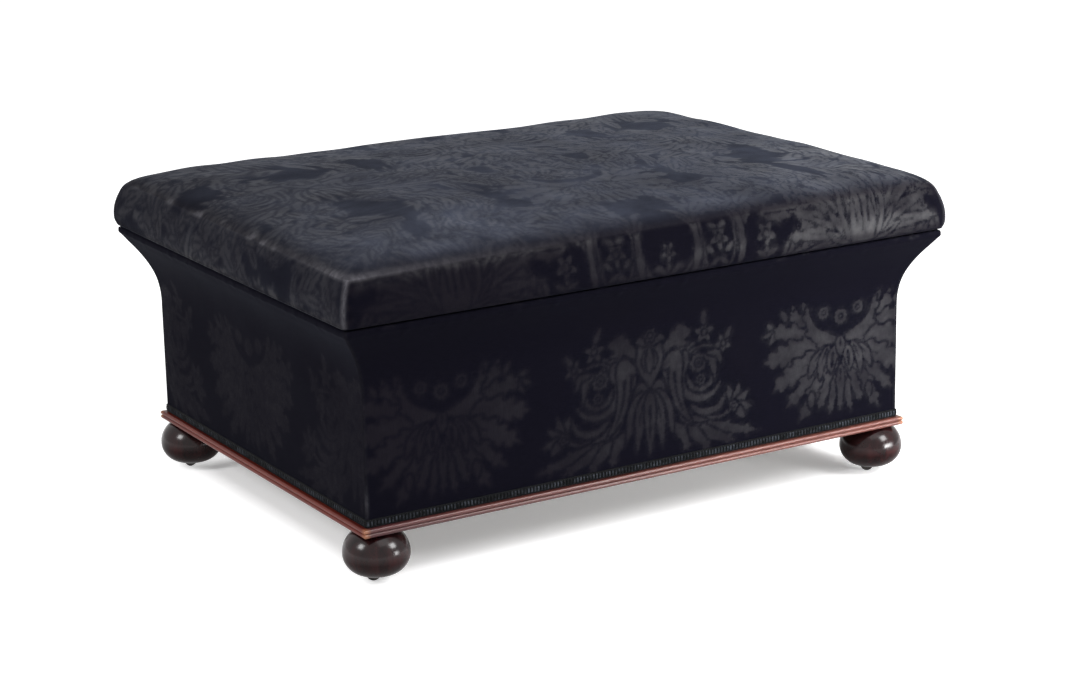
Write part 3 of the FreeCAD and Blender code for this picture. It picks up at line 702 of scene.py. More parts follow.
def braid_material():
    """Black threads, with painted grey highlights on the ridges of some ribs."""
    n = nodes_for("braid")
    at = n.place()
    threads = n.streaks(at, (900, 900, 2600))
    colour = n.mix(threads, (0.0012, 0.0013, 0.0016), (0.0060, 0.0066, 0.0075))
    # Painted highlight: rib ridge tops are lightened towards a pale blue grey, in patches.
    ridge = n.attribute("ridge") * n.noise(at, 70.0, 4.0, 0.7).to(0.42, 0.62, 0.0, 1.0)
    return n.finish(Base_Color=n.mix(ridge, colour, (0.045, 0.050, 0.062)),
                    Roughness=n.noise(at, 60.0, 3.0).to(0.2, 0.8, 0.45, 0.65),
                    Normal=n.bump(threads, 0.5, 0.3 * MM), Specular_IOR_Level=0.05)


def woven(name, dark, light, pitch, rough, gloss=0.5, sheen=0.1, stripes=None):
    """A plain weave on the cloth's own coordinates, with slubs, soft stains and perhaps two stripes."""
    n = nodes_for(name)
    cloth = n.attribute("cloth", "Vector")
    u, v, across = n.parts(cloth)
    slubs = n.streaks(cloth, (60, 900, 1)) * 0.5 + n.streaks(cloth, (900, 60, 1)) * 0.5
    stains = n.noise(cloth, 7.0, 4.0)
    colour = n.mix(slubs.to(0.35, 0.65, 0.0, 1.0), dark, light)
    if stripes:
        stripe_share, stripe_colour = stripes
        stripe = abs(abs(across - 0.5) - stripe_share).to(0.03, 0.045, 1.0, 0.0)
        colour = n.mix(stripe, colour, stripe_colour)
    colour = n.mix(stains.to(0.45, 0.8, 0.0, 0.45), colour, darker(dark, 0.55))
    height = n.waves(u, pitch) * n.waves(v, pitch) + slubs * 0.8
    return n.finish(Base_Color=colour, Roughness=stains.to(0.2, 0.8, rough - 0.05, rough + 0.05),
                    Normal=n.bump(height, 0.4, pitch * 0.3), Sheen_Weight=sheen, Specular_IOR_Level=gloss)


ring_pitch = 11.0 * MM
chip_from, chip_to = 4.0 * MM, 11.0 * MM


def mahogany_tones(n, at, colour, warm):
    """Redder and browner stretches, and bare wood at the chipped mitres."""
    tone = n.streaks(at, (9, 9, 9), 3.0, 0.6)
    colour = n.mix(tone.to(0.54, 0.66, 0.0, 0.6), colour, warm)
    colour = n.mix(tone.to(0.46, 0.34, 0.0, 0.7), colour, (0.060, 0.009, 0.010))
    x, y = n.parts(n.place())[:2]
    to_x = abs(x) - moulding_tip_x
    to_y = abs(y) - moulding_tip_y
    from_mitre = n.math("SQRT", to_x * to_x + to_y * to_y)
    return n.mix(from_mitre.to(chip_from, chip_to, 0.6, 0.0), colour, (0.34, 0.14, 0.065))


def wood(name, dark, light, grain, rough, gloss=0.5, coat=0.0, knots=0.0, warm=None):
    """Long grained wood. grain is the axis that the grain follows, and warm is mahogany's second tone."""
    n = nodes_for(name)
    at = n.place(tuple(0.05 if axis == grain else 1.0 for axis in range(3)))
    fibres = n.streaks(at, (26, 26, 26), 4.0, 0.6)
    rings = n.waves(n.noise(at, 6.0, 3.0) * 0.09 + fibres * 0.02, ring_pitch)
    pores = n.streaks(at, (900, 900, 900))
    share = rings * 0.55 + fibres * 0.5
    colour = n.mix(share.to(0.2, 0.85, 0.0, 1.0), dark, light)
    colour = n.mix(pores.to(0.56, 0.70, 0.0, 0.5), colour, darker(dark, 0.35))
    colour = n.mix(n.noise(n.place(), 5.0, 3.0).to(0.4, 0.8, 0.0, 0.35), colour, darker(dark, 0.7))
    if warm:
        colour = mahogany_tones(n, at, colour, warm)
    if knots:
        colour = n.mix(n.streaks(at, (14, 14, 14), 1.0).to(0.70, 0.78, 0.0, knots), colour, darker(dark, 0.4))
    return n.finish(Base_Color=colour, Roughness=share.to(0.0, 1.0, rough - 0.06, rough + 0.08),
                    Normal=n.bump(share - pores, 0.12, 0.4 * MM), Specular_IOR_Level=gloss,
                    Coat_Weight=coat, Coat_Roughness=0.12)


foot_widest = 41.0 * MM
foot_wear_reach = 12.0 * MM
polish_from, polish_to = 36.0 * MM, 50.0 * MM


def turned_wood():
    """Dark feet: fine lathe lines, deep grain, worn wood on the widest part, and polish kept best above it.
    """
    n = nodes_for("dark_turned_wood")
    at = n.place()
    z = n.parts(at)[2]
    grain = n.streaks(at, (120, 120, 9), 4.0, 0.6)
    cloud = n.noise(at, 22.0, 3.0)
    colour = n.mix(grain.to(0.3, 0.7, 0.0, 1.0), (0.003, 0.0007, 0.0009), (0.021, 0.0042, 0.0046))
    colour = n.mix(cloud.to(0.45, 0.75, 0.0, 0.6), colour, (0.006, 0.0015, 0.0025))
    worn = abs(z - foot_widest).to(0.0, foot_wear_reach, 1.0, 0.0) * cloud.to(0.48, 0.62, 0.0, 0.45)
    lathe = n.streaks(at, (0.5, 0.5, 900))
    return n.finish(Base_Color=n.mix(worn, colour, (0.048, 0.009, 0.009)), Specular_IOR_Level=0.02,
                    Roughness=cloud.to(0.2, 0.8, 0.22, 0.32), Coat_Roughness=0.19,
                    Coat_Weight=z.to(polish_from, polish_to, 0.16, 0.60),
                    Normal=n.bump(lathe * 0.5 + grain * 0.4, 0.06, 0.3 * MM))


def metal(name, dark, light, rough, metallic, spots):
    n = nodes_for(name)
    at = n.place()
    patina = n.noise(at, 90.0, 5.0, 0.6)
    fine = n.noise(at, 900.0, 3.0)
    colour = n.mix(patina.to(0.35, 0.65, 0.0, 1.0), dark, light)
    colour = n.mix(fine.to(0.6, 0.75, 0.0, spots), colour, darker(dark, 0.3))
    return n.finish(Base_Color=colour, Metallic=patina.to(0.3, 0.8, metallic, metallic - 0.15),
                    Roughness=patina.to(0.3, 0.7, rough + 0.1, rough - 0.05),
                    Normal=n.bump(patina + fine, 0.12, 0.3 * MM))


painted_shade_from, painted_shade_to = -95.0 * MM, -62.0 * MM
floor_fade_reach = 600.0 * MM


def floor_material():
    """Pale floor that keeps the shadow: white to the camera and to mirrored rays, pale grey to the rest. Its
    glow drops a little inside the object's footprint, a crisp-edged painted shade under it.
    """
    n = nodes_for("floor")
    at = n.place()
    tone = n.mix(n.noise(at, 3.0, 2.0), (0.78, 0.78, 0.785), (0.80, 0.80, 0.805))
    plain = n.value("BsdfDiffuse", Color=tone)
    x, y = n.parts(at)[:2]
    beyond = n.math("MAXIMUM", abs(x) - half_length, abs(y) - half_depth)
    # Painted shade: the glow drops under the object, and grows further out so that the far floor stays white.
    glow_with_painted_shade = beyond.to(painted_shade_from, painted_shade_to, 0.26, 0.62) + beyond.to(0.0, floor_fade_reach, 0.0, 0.2)
    bright = n.value("AddShader", i0=n.value("BsdfDiffuse", Color=(0.93, 0.93, 0.935)),
                     i1=n.value("Emission", Color=(1.0, 1.0, 1.0), Strength=glow_with_painted_shade))
    return n.show(n.value("MixShader", i0=n.seen_directly(), i1=plain, i2=bright))


pine = (0.40, 0.24, 0.11), (0.60, 0.41, 0.22)
damask_cloth = damask()
braid_cloth = braid_material()
lining_cotton = woven("lining_cotton", (0.055, 0.042, 0.03), (0.115, 0.092, 0.066), 0.6 * MM, 0.5, 0.5, 0.05)
dust_cotton = woven("dust_cotton", (0.006, 0.006, 0.007), (0.014, 0.014, 0.016), 0.6 * MM, 0.8, 0.2, 0.03)
webbing_jute = woven("webbing", (0.25, 0.17, 0.095), (0.46, 0.34, 0.21), 1.6 * MM, 0.85, 0.3, 0.1,
                     stripes=(0.32, (0.16, 0.03, 0.02)))
hessian_jute = woven("hessian", (0.26, 0.18, 0.10), (0.45, 0.33, 0.20), 1.8 * MM, 0.9, 0.3)
pine_x = wood("pine_x", *pine, 0, 0.62, knots=0.6)
pine_y = wood("pine_y", *pine, 1, 0.62, knots=0.6)
old_pine_y = wood("old_pine_y", (0.060, 0.042, 0.028), (0.115, 0.085, 0.058), 1, 0.75, knots=0.6)
# The two mahogany copies differ in colour: the front and back mouldings' one is darker and more mauve, to
# offset the lamps on them, and the end mouldings' one is redder and brighter. This is painted light and
# shade.
mahogany_x = wood("mahogany_x", (0.052, 0.014, 0.016), (0.098, 0.031, 0.033), 0, 0.30, 0.25, coat=0.12,
                  warm=(0.165, 0.052, 0.034))
mahogany_y = wood("mahogany_y", (0.066, 0.008, 0.006), (0.165, 0.026, 0.014), 1, 0.34, 0.15, coat=0.03,
                  warm=(0.28, 0.068, 0.024))
dark_wood = turned_wood()
iron = metal("blackened_iron", (0.012, 0.011, 0.011), (0.035, 0.032, 0.030), 0.42, 0.85, 0.4)
brass = metal("aged_brass", (0.15, 0.098, 0.038), (0.34, 0.235, 0.10), 0.36, 1.0, 0.3)
steel = metal("steel", (0.30, 0.29, 0.28), (0.52, 0.51, 0.50), 0.30, 1.0, 0.3)


def finish_cad_nodes():
    """Gives every rigid CAD node its procedural material."""
    sides_x, sides_y = ("front", "back"), ("left", "right")
    corners = [depth + "_" + side for depth in sides_x for side in sides_y]
    by_material = [
        (pine_x, [part % side for side in sides_x for part in ("%s_panel", "%s_cove_rail", "lid_%s_rail")]),
        (pine_y, [part % side for side in sides_y for part in ("%s_panel", "%s_cove_rail", "lid_%s_rail")]),
        (pine_y, ["lid_cross_rail"]),
        (old_pine_y, ["foot_blocks"] + ["bottom_board_" + part for part in ("left", "middle", "right")]),
        (mahogany_x, [side + "_base_moulding" for side in sides_x]),
        (mahogany_y, [side + "_base_moulding" for side in sides_y]),
        (dark_wood, ["foot_" + corner for corner in corners]),
        (iron, ["caster_sockets", "caster_socket_screws"]),
        (iron, ["caster_%s_%s" % (corner, part) for corner in corners for part in ("horn", "wheel", "axle")]),
        (brass, ["hinge_box_leaves", "hinge_lid_leaves", "stay_box_studs", "stay_lid_brackets"]),
        (brass, ["stay_left_arm", "stay_right_arm"]),
        (steel, ["hinge_pins", "box_hardware_screws", "lid_hardware_screws"])]
    for material, names in by_material:
        for name in names:
            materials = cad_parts[name].data.materials
            materials.clear()
            materials.append(material)


# Covers on the box

lip_low = box_top - lip_height
cove_bottom = lip_low - math.sqrt(cove_radius ** 2 - (cove_radius + lip_inset - cloth_inset) ** 2)
lip_round = 1.6 * MM
cover_fold = 1.0 * MM
cover_end_gap = 0.2 * MM
cover_step = 2.0 * MM
cover_slack = 0.5 * MM
cover_slack_wave = 160.0 * MM
cover_slack_ends = 50.0 * MM
slack_top_fade = 4.0 * MM
cover_hem = 30.0 * MM
pucker_height = 0.4 * MM
pucker_wave = 22.0 * MM
pucker_reach = 16.0 * MM
pucker_upright_share = 0.35
pucker_lip_rise, pucker_top_fade, pucker_top_end = 2.0 * MM, 2.0 * MM, 0.1 * MM
cover_padding = 2.8 * MM
padding_from, padding_to = 30.0 * MM, 15.0 * MM
padding_lip_share = 0.35
padding_lip_rise, padding_top_fade, padding_top_end = 4.0 * MM, 3.0 * MM, 0.2 * MM
seam_depth = 0.8 * MM
seam_width = 1.2 * MM
seam_wear_place, seam_wear_width = 1.0 * MM, 2.6 * MM
seam_wear, kick_wear = 0.05, 0.25
cove_points, lip_points, fold_points = 40, 7, 5
kick_height = 35.0 * MM
kick_width = 16.0 * MM
burst_height = 195.0 * MM
figure_shifts = {"front": (figure_column - 7.0) * MM, "back": 0.0, "left": 20.0 * MM, "right": 20.0 * MM}
# The left cover's figure is capped so that its satin shows only faintly: painted shade on the side that the
# lamps leave dim.
left_shade_figure_cap = 0.2
cover_gloss = {"back": 0.13, "right": 0.13, "left": 0.0}
front_dull_gloss, front_gloss_gain = 0.030, 0.185
dull_from, glossy_from = -420.0 * MM, 450.0 * MM


def side_frame(side):
    """Half the run of a side, half the distance across to the opposite side, and its turn about Z."""
    if side in ("front", "back"):
        return half_length, half_depth, 0.0 if side == "front" else math.pi
    return half_depth, half_length, -math.pi / 2 if side == "left" else math.pi / 2


def turned(points, turn):
    c, s = math.cos(turn), math.sin(turn)
    x, y = points[..., 0], points[..., 1]
    return stacked(x * c - y * s, x * s + y * c, points[..., 2])


def cover_profile():
    """Inset and height up the cloth: panel, cove, lip, top edge, and the fold at its inner edge."""
    centre = cloth_inset - cove_radius
    path = [(cloth_inset, carcass_bottom), (cloth_inset, cove_bottom)]
    for angle in np.linspace(0, math.asin((lip_low - cove_bottom) / cove_radius), cove_points)[1:]:
        path.append((centre + cove_radius * math.cos(angle), cove_bottom + cove_radius * math.sin(angle)))
    centre = lip_inset + lip_round
    for angle in np.linspace(0, math.pi / 2, lip_points):
        path.append((centre - lip_round * math.cos(angle), box_top - lip_round * (1 - math.sin(angle))))
    centre = inner_inset - cover_fold
    for angle in np.linspace(0, math.pi / 2, fold_points):
        path.append((centre + cover_fold * math.sin(angle), box_top - cover_fold * (1 - math.cos(angle))))
    path.append((inner_inset, carcass_top + cover_end_gap))
    return np.array(path)


def side_gloss(side, x):
    """How much of its satin gloss a side's cloth has kept. The front is rubbed duller towards the left."""
    if side == "front":
        return front_dull_gloss + front_gloss_gain * smoothstep(dull_from, glossy_from, x)
    return np.full(x.shape, cover_gloss[side])


def cover_outward(side, x, v, level, edge):
    """How far the cloth stands off its profile: slack, puckers at the lip, padding and the corner seams."""
    seed = len(side)
    slack = cover_slack * lumps(x, v, cover_slack_wave, 11 + seed) * smoothstep(0, cover_slack_ends, edge)
    slack *= plateau(level, carcass_bottom, carcass_bottom + cover_hem, box_top - slack_top_fade, box_top)
    pucker = pucker_height * np.maximum(0, lumps(x, v * pucker_upright_share, pucker_wave, 5 + seed, 8))
    pucker *= plateau(level, lip_low - pucker_reach, lip_low + pucker_lip_rise,
                      box_top - pucker_top_fade, box_top + pucker_top_end)
    lip_loss = (1 - padding_lip_share) * smoothstep(lip_low - padding_to, lip_low + padding_lip_rise, level)
    padding = cover_padding * (1 - lip_loss)
    padding *= plateau(level, cove_bottom + padding_from, lip_low - padding_to,
                       box_top - padding_top_fade, box_top + padding_top_end)
    return slack + pucker + padding - seam_depth * bell(edge, seam_width)


def box_cover(side):
    run, across, turn = side_frame(side)
    path = resample(cover_profile(), cover_step)
    lengths = path_lengths(path)
    inset, level = path[:, :1], path[:, 1:]
    reach = run - inset
    x = np.linspace(-1, 1, int(round(2 * (run - cloth_inset) / cover_step)) + 1) * reach
    v = np.broadcast_to(lengths[:, None], x.shape)
    edge = reach - np.abs(x)
    slope = np.gradient(path, axis=0)
    slope /= np.linalg.norm(slope, axis=1)[:, None]
    outward = cover_outward(side, x, v, level, edge)
    new_inset = inset - slope[:, 1:] * outward
    z = level + slope[:, :1] * outward
    x = x * (run - new_inset) / reach
    figure = cover_figure_at(x + figure_shifts[side], v + carcass_bottom - burst_height)
    # Painted shade: the left side's figure is held faint.
    if side == "left":
        figure = np.minimum(figure, left_shade_figure_cap)
    kicked = kick_wear * bell(v - kick_height, kick_width)
    wear = bell(edge - seam_wear_place, seam_wear_width) * (seam_wear + kicked)
    keep = ~cover_notches(x, z, inset) if side == "back" else None
    work = Patchwork()
    work.add(turned(stacked(x, new_inset - across, z), turn), keep=keep, figure=figure, wear=wear,
             cloth=stacked(x, v, 0.3 + 0.1 * len(side)), gloss=side_gloss(side, x))
    obj = work.build("damask_" + side)
    dress(obj, damask_cloth, "carcass", "damask", side + "_cover")
    width = 2 * (run - path[:, 0])
    area = float(np.sum((width[1:] + width[:-1]) / 2 * np.diff(lengths)))


def beside_hinge(x):
    return np.abs(np.abs(x) - hinge_offset) < hinge_notch_half


def cover_notches(x, z, inset):
    """Faces of the back cover that are cut away round the hinge barrels and leaves."""
    high = middles(z) > hinge_height - hinge_notch_reach
    return beside_hinge(middles(x)) & high & (middles(np.broadcast_to(inset, x.shape)) < leaf_room_depth)


# Braid

gimp_pitch = 5.4 * MM
gimp_stand = 2.2 * MM
gimp_skin = 0.05 * MM
gimp_corner = 2.5 * MM
gimp_samples = 8
gimp_rows = 17
edge_cord_share = 0.1
edge_cord_width_share = 0.075
edge_cord_stand_share, cord_twist_share = 0.75, 0.2
cord_turns_along, cord_turns_up = 1.5, 2
rib_roundness = 0.6
rib_valley_share = 0.20
rib_span_shares = (0.12, 0.3, 0.7, 0.88)
edge_span_shares = (-0.01, 0.05, 0.95, 1.01)
ridge_from_share = 0.72
corner_points = 9


def ring_path(x_half, y_half, radius, step):
    """Points round a rectangle with rounded corners, evenly spaced."""
    x, y = x_half - radius, y_half - radius
    points = []
    for cx, cy, start in ((x, -y, -math.pi / 2), (x, y, 0.0), (-x, y, math.pi / 2), (-x, -y, math.pi)):
        for angle in np.linspace(start, start + math.pi / 2, corner_points):
            points.append((cx + radius * math.cos(angle), cy + radius * math.sin(angle)))
    return resample(points + points[:1], step)


def gimp_braid():
    """Ribbed gimp: upright cords side by side, bound by a thin cord along each edge."""
    path = ring_path(half_length - cloth_inset, half_depth - cloth_inset, gimp_corner,
                     gimp_pitch / gimp_samples)
    count = (len(path) - 1) // gimp_samples * gimp_samples
    path = resample(path, path_lengths(path)[-1] / count)[:-1]
    ahead = np.roll(path, -1, axis=0) - np.roll(path, 1, axis=0)
    ahead /= np.linalg.norm(ahead, axis=1)[:, None]
    out = stacked(ahead[:, 1], -ahead[:, 0])
    phase = np.arange(count)[None, :] / gimp_samples
    w = np.linspace(0, 1, gimp_rows)[:, None]
    rib = np.abs(np.sin(np.pi * phase)) ** rib_roundness
    cords = sum(bell(w - share, edge_cord_width_share) for share in (edge_cord_share, 1 - edge_cord_share))
    middle = plateau(w, *rib_span_shares)
    twist = 0.5 + 0.5 * np.sin(2 * np.pi * (phase * cord_turns_along + w * cord_turns_up))
    ribs = middle * (rib_valley_share + (1 - rib_valley_share) * rib)
    stand = gimp_stand * (ribs + np.minimum(1, cords) * (edge_cord_stand_share + cord_twist_share * twist))
    stand = stand * plateau(w, *edge_span_shares) + gimp_skin
    closed = np.arange(count + 1) % count
    across = path[closed] + out[closed] * stand[:, closed][:, :, None]
    ridge = smoothstep(ridge_from_share, 1.0, rib) * middle
    work = Patchwork()
    work.add(stacked(across[..., 0], across[..., 1], braid_low.z + (braid_high.z - braid_low.z) * w),
             ridge=ridge[:, closed])
    dress(work.build("ribbed_gimp"), braid_cloth, "carcass", "braid", "gimp_braid")


# Lid

lid_base = lid_low.z
lid_side_share = shoulder_shares[1]
shoulder_inset = shoulder_shares[0] * half_depth
lid_x_half = half_length - shoulder_inset
lid_y_half = half_depth - shoulder_inset
lid_step_x = 2.8 * MM
lid_step_y = 4.2 * MM
lid_side_step = 2.7 * MM
lid_under_step = 5.0 * MM
lid_under_fold = 1.0 * MM
lid_edge_round = 0.6 * MM
shoulder_lap_share = 0.02
outline_points = 800
lid_figure_axis = 7.0 * MM
long_bow = 6.0 * MM
short_bow = 3.0 * MM
right_rise = 6.0 * MM
left_rise = 3.0 * MM
flatter_from, flatter_to = -100.0 * MM, 250.0 * MM
right_rise_x, right_rise_y = (-100.0 * MM, 480.0 * MM), (220.0 * MM, -120.0 * MM)
left_rise_x, left_rise_y = (-150.0 * MM, -480.0 * MM), (0.0, 350.0 * MM)
back_trim_from, back_trim_to = 60.0 * MM, 300.0 * MM
back_trim_places = (-0.49, -0.38, -0.20, -0.04, 0.07, 0.16, 0.36, 0.49)
back_trim_rises = [rise * MM for rise in (0.0, 2.0, 2.5, 1.5, -1.5, -4.2, -4.2, -2.5)]
top_lump, top_lump_wave = 0.9 * MM, 110.0 * MM
top_swell, top_swell_wave = 1.0 * MM, 280.0 * MM
side_swell, side_swell_wave = 0.7 * MM, 120.0 * MM
pleat_depth, pleat_wave, pleat_reach = 0.5 * MM, 30.0 * MM, 10.0 * MM
corner_sink, corner_sink_place, corner_sink_width = 2.2 * MM, 9.0 * MM, 4.0 * MM
corner_sink_shares = (0.05, 0.15, 0.42, 0.62)
side_swell_shares = (0.04, 0.3, 0.5, lid_side_share)
pleat_full_share, pleat_end_share, pleat_upright_share = 0.3, 0.5, 0.2
uneven_full_share, uneven_fade_share = 0.86, 0.985
lid_fold_height = 0.4 * MM
lid_fold_share = 0.002
end_blend_share = 0.2
smallest_radius = 1e-6
corner_guard = 0.1 * MM
flatter_share = 0.8
side_end_reach = 20.0 * MM
gloss_end_from, gloss_end_to = 8.0 * MM, 26.0 * MM
top_crest_width = 6.5 * MM
side_crest_width = 2.6 * MM
lid_seam_width = 4.4 * MM
even_wear_and_highlight, near_wear_and_highlight, lid_seam_wear_and_highlight = 0.05, 0.6, 0.62
near_wear_and_highlight_reach = 130.0 * MM
left_wear_and_highlight_reach = 30.0 * MM
bead_threshold = -0.1
bead_wave, bead_middle, bead_reach = 30.0 * MM, -50.0 * MM, 400.0 * MM
# Painted sheen on the lid: its level along the lid, its unevenness, and a patch near the front left corner
painted_sheen_places = (-0.5, -0.3, 0.0, 0.3, 0.5)
painted_sheen_levels = (0.20, 0.38, 0.56, 0.68, 0.78)
painted_sheen_wave, painted_sheen_unevenness = 160.0 * MM, 0.22
painted_sheen_patch_gain = 0.38
painted_sheen_patch, painted_sheen_patch_width, painted_sheen_patch_depth = -300.0 * MM, 220.0 * MM, 160.0 * MM
lid_side_gloss = {"right": 0.16, "back": 0.16, "left": 0.11}
lid_front_dull_gloss, lid_front_gloss_gain = 0.02, 0.27
lid_front_dull_from, lid_front_glossy_from = -300.0 * MM, 380.0 * MM
dull_top_gloss, top_gloss_gain = 0.17, 0.36
top_gloss_x, top_gloss_y = (120.0 * MM, 420.0 * MM), (100.0 * MM, -250.0 * MM)
painted_sheen_start_share, painted_sheen_full_share = 0.625, 0.84
left_painted_sheen, left_painted_sheen_shares = 0.09, (0.03, 0.12)
side_gloss_shares = (0.012, 0.05)


def to_ring(x, y, inset):
    """Moves points of a square ring onto the lid's rounded loop at the same inset."""
    x_half = half_length - inset
    y_half = half_depth - inset
    radius = lid_corner_radius + crown_corner_share * np.maximum(inset, 0)
    radius = np.minimum(radius, crown_corner_share * np.minimum(x_half, y_half))
    radius = np.maximum(radius, smallest_radius)
    on_y_side = (y_half - np.abs(y)) < (x_half - np.abs(x))
    q = np.where(on_y_side, x_half - np.abs(x), y_half - np.abs(y))
    share = np.clip(q / radius, 0, 1)
    angle = math.pi / 4 * np.where(on_y_side, 1 + share, 1 - share)
    corner = q < radius
    bow_x = side_bow * (1 - (y / half_depth) ** 2)
    bow_y = side_bow * (1 - (x / half_length) ** 2)
    flat_x = np.where(on_y_side, np.abs(x), x_half + bow_x)
    flat_y = np.where(on_y_side, y_half + bow_y, np.abs(y))
    new_x = np.where(corner, x_half - radius + radius * np.cos(angle), flat_x) * np.sign(x)
    new_y = np.where(corner, y_half - radius + radius * np.sin(angle), flat_y) * np.sign(y)
    return new_x, new_y


def lid_bow(x, y, share):
    """How much the lid's edges rise in the middle of its sides, over what the outline gives."""
    from_y = np.maximum(half_depth - np.abs(y), 0) + corner_guard
    from_x = np.maximum(half_length - np.abs(x), 0) + corner_guard
    long_weight = from_x ** 2 / (from_x ** 2 + from_y ** 2)
    flatter = 1 - flatter_share * smoothstep(flatter_from, flatter_to, y)
    bow = long_bow * flatter * (1 - (x / half_length) ** 2) * long_weight
    bow += short_bow * (1 - (y / half_depth) ** 2) * (1 - long_weight)
    bow += right_rise * smoothstep(*right_rise_x, x) * smoothstep(*right_rise_y, y)
    bow += np.interp(x, back_trim_places, back_trim_rises) * smoothstep(back_trim_from, back_trim_to, y)
    bow += left_rise * smoothstep(*left_rise_x, x) * smoothstep(*left_rise_y, y)
    return bow * plateau(share, 0.0, lid_side_share, lid_side_share, 1.0)


def crest_wear_and_highlight(x, y, distance, width):
    """Rubbed cloth and painted highlight along the lid's top edge, most of all at the near corner, in beads
    along the left side.
    """
    near = np.exp(-np.hypot(x + half_length, y + half_depth) / near_wear_and_highlight_reach)
    left = np.exp(-(x + half_length) / left_wear_and_highlight_reach) * np.exp(-np.abs(y - bead_middle) / bead_reach)
    beads = smoothstep(bead_threshold, 1.0, lumps(x, y, bead_wave, 61, 9))
    return (even_wear_and_highlight + near_wear_and_highlight * near + left * beads) * bell(distance, width)


def top_gloss(x, y):
    """The top's satin gloss, kept best towards the right of its front edge."""
    return dull_top_gloss + top_gloss_gain * smoothstep(*top_gloss_x, x) * smoothstep(*top_gloss_y, y)


def lid_painted_sheen(x, y, share):
    """How much painted sheen lightens the lid's cloth: most on its flat top, less at its left end."""
    level = np.interp(x, painted_sheen_places, painted_sheen_levels)
    patch = painted_sheen_patch_gain * bell(x - painted_sheen_patch, painted_sheen_patch_width)
    level = level + patch * bell(y - painted_sheen_patch, painted_sheen_patch_depth)
    level = level * (1 + painted_sheen_unevenness * lumps(x, y, painted_sheen_wave, 71))
    return np.clip(level, 0, 1) * smoothstep(painted_sheen_start_share, painted_sheen_full_share, share)


def lid_paths():
    """The crown, the side from the shoulder down, and the whole path from the shoulder to the fold under."""
    rows = [(share * half_depth, lid_base + rise * lid_height) for share, rise in lid_outline_shares]
    outline = smooth_path(rows, outline_points)
    side = outline[outline[:, 1] < lid_base + lid_side_share * lid_height]
    top = outline[outline[:, 1] > lid_base + (lid_side_share - shoulder_lap_share) * lid_height]
    shoulder = (shoulder_inset, float(np.interp(shoulder_inset, top[:, 0], top[:, 1])))
    side_path = resample(np.vstack([[shoulder], side[side[:, 1] < shoulder[1]][::-1]]), lid_side_step)
    under = [(side_path[-1][0] + lid_edge_round, lid_base), (lid_turn_under - lid_under_fold, lid_base),
             (lid_turn_under, lid_base + lid_under_fold)]
    return top, side_path, np.vstack([side_path, resample(under, lid_under_step)])


lid_crown, lid_side_path, lid_full_path = lid_paths()
lid_columns = np.linspace(-lid_x_half, lid_x_half, int(round(2 * lid_x_half / lid_step_x)) + 1)
lid_rows = np.linspace(-lid_y_half, lid_y_half, int(round(2 * lid_y_half / lid_step_y)) + 1)


def lid_cloth(u, v):
    """What the damask reads at places along and across the lid, measured over the shoulder."""
    figure = lid_figure_at(u - lid_figure_axis, v + lid_y_half + path_lengths(lid_side_path)[-1])
    return {"figure": figure, "cloth": stacked(u, v, 0.1)}


def lid_top(work):
    x, y = np.meshgrid(lid_columns, lid_rows)
    inset = np.minimum(lid_x_half - np.abs(x), lid_y_half - np.abs(y)) + shoulder_inset
    px, py = to_ring(x, y, inset)
    level = np.interp(inset, lid_crown[:, 0], lid_crown[:, 1])
    share = (level - lid_base) / lid_height
    uneven = top_lump * lumps(px, py, top_lump_wave, 3) + top_swell * lumps(px, py, top_swell_wave, 8)
    uneven *= plateau(share, lid_side_share, uneven_full_share, uneven_fade_share, 1.0)
    z = np.minimum(level + lid_bow(px, py, share) + uneven, lid_high.z)
    work.add(stacked(px, py, z), wear=crest_wear_and_highlight(px, py, inset - shoulder_inset, top_crest_width),
             gloss=top_gloss(px, py), faded=lid_painted_sheen(px, py, share), **lid_cloth(x, y))


def lid_side_push(side, along, level, share, from_end):
    """How far a side's cloth stands out: its swell, pleats above the joint, and sunk ends on the front."""
    seed = len(side)
    gather = np.exp(-(level - lid_base) / pleat_reach) * (level > lid_base + lid_fold_height)
    pleats = pleat_depth * lumps(along, level * pleat_upright_share, pleat_wave, 21 + seed, 8)
    pleats *= gather * smoothstep(pleat_end_share, pleat_full_share, share)
    swell = side_swell * lumps(along, level, side_swell_wave, 31 + seed)
    swell *= plateau(share, *side_swell_shares)
    push = (pleats + swell) * smoothstep(0.0, side_end_reach, from_end)
    if side == "front":
        sink = corner_sink * bell(from_end - corner_sink_place, corner_sink_width)
        push = push - sink * plateau(share, *corner_sink_shares)
    return push


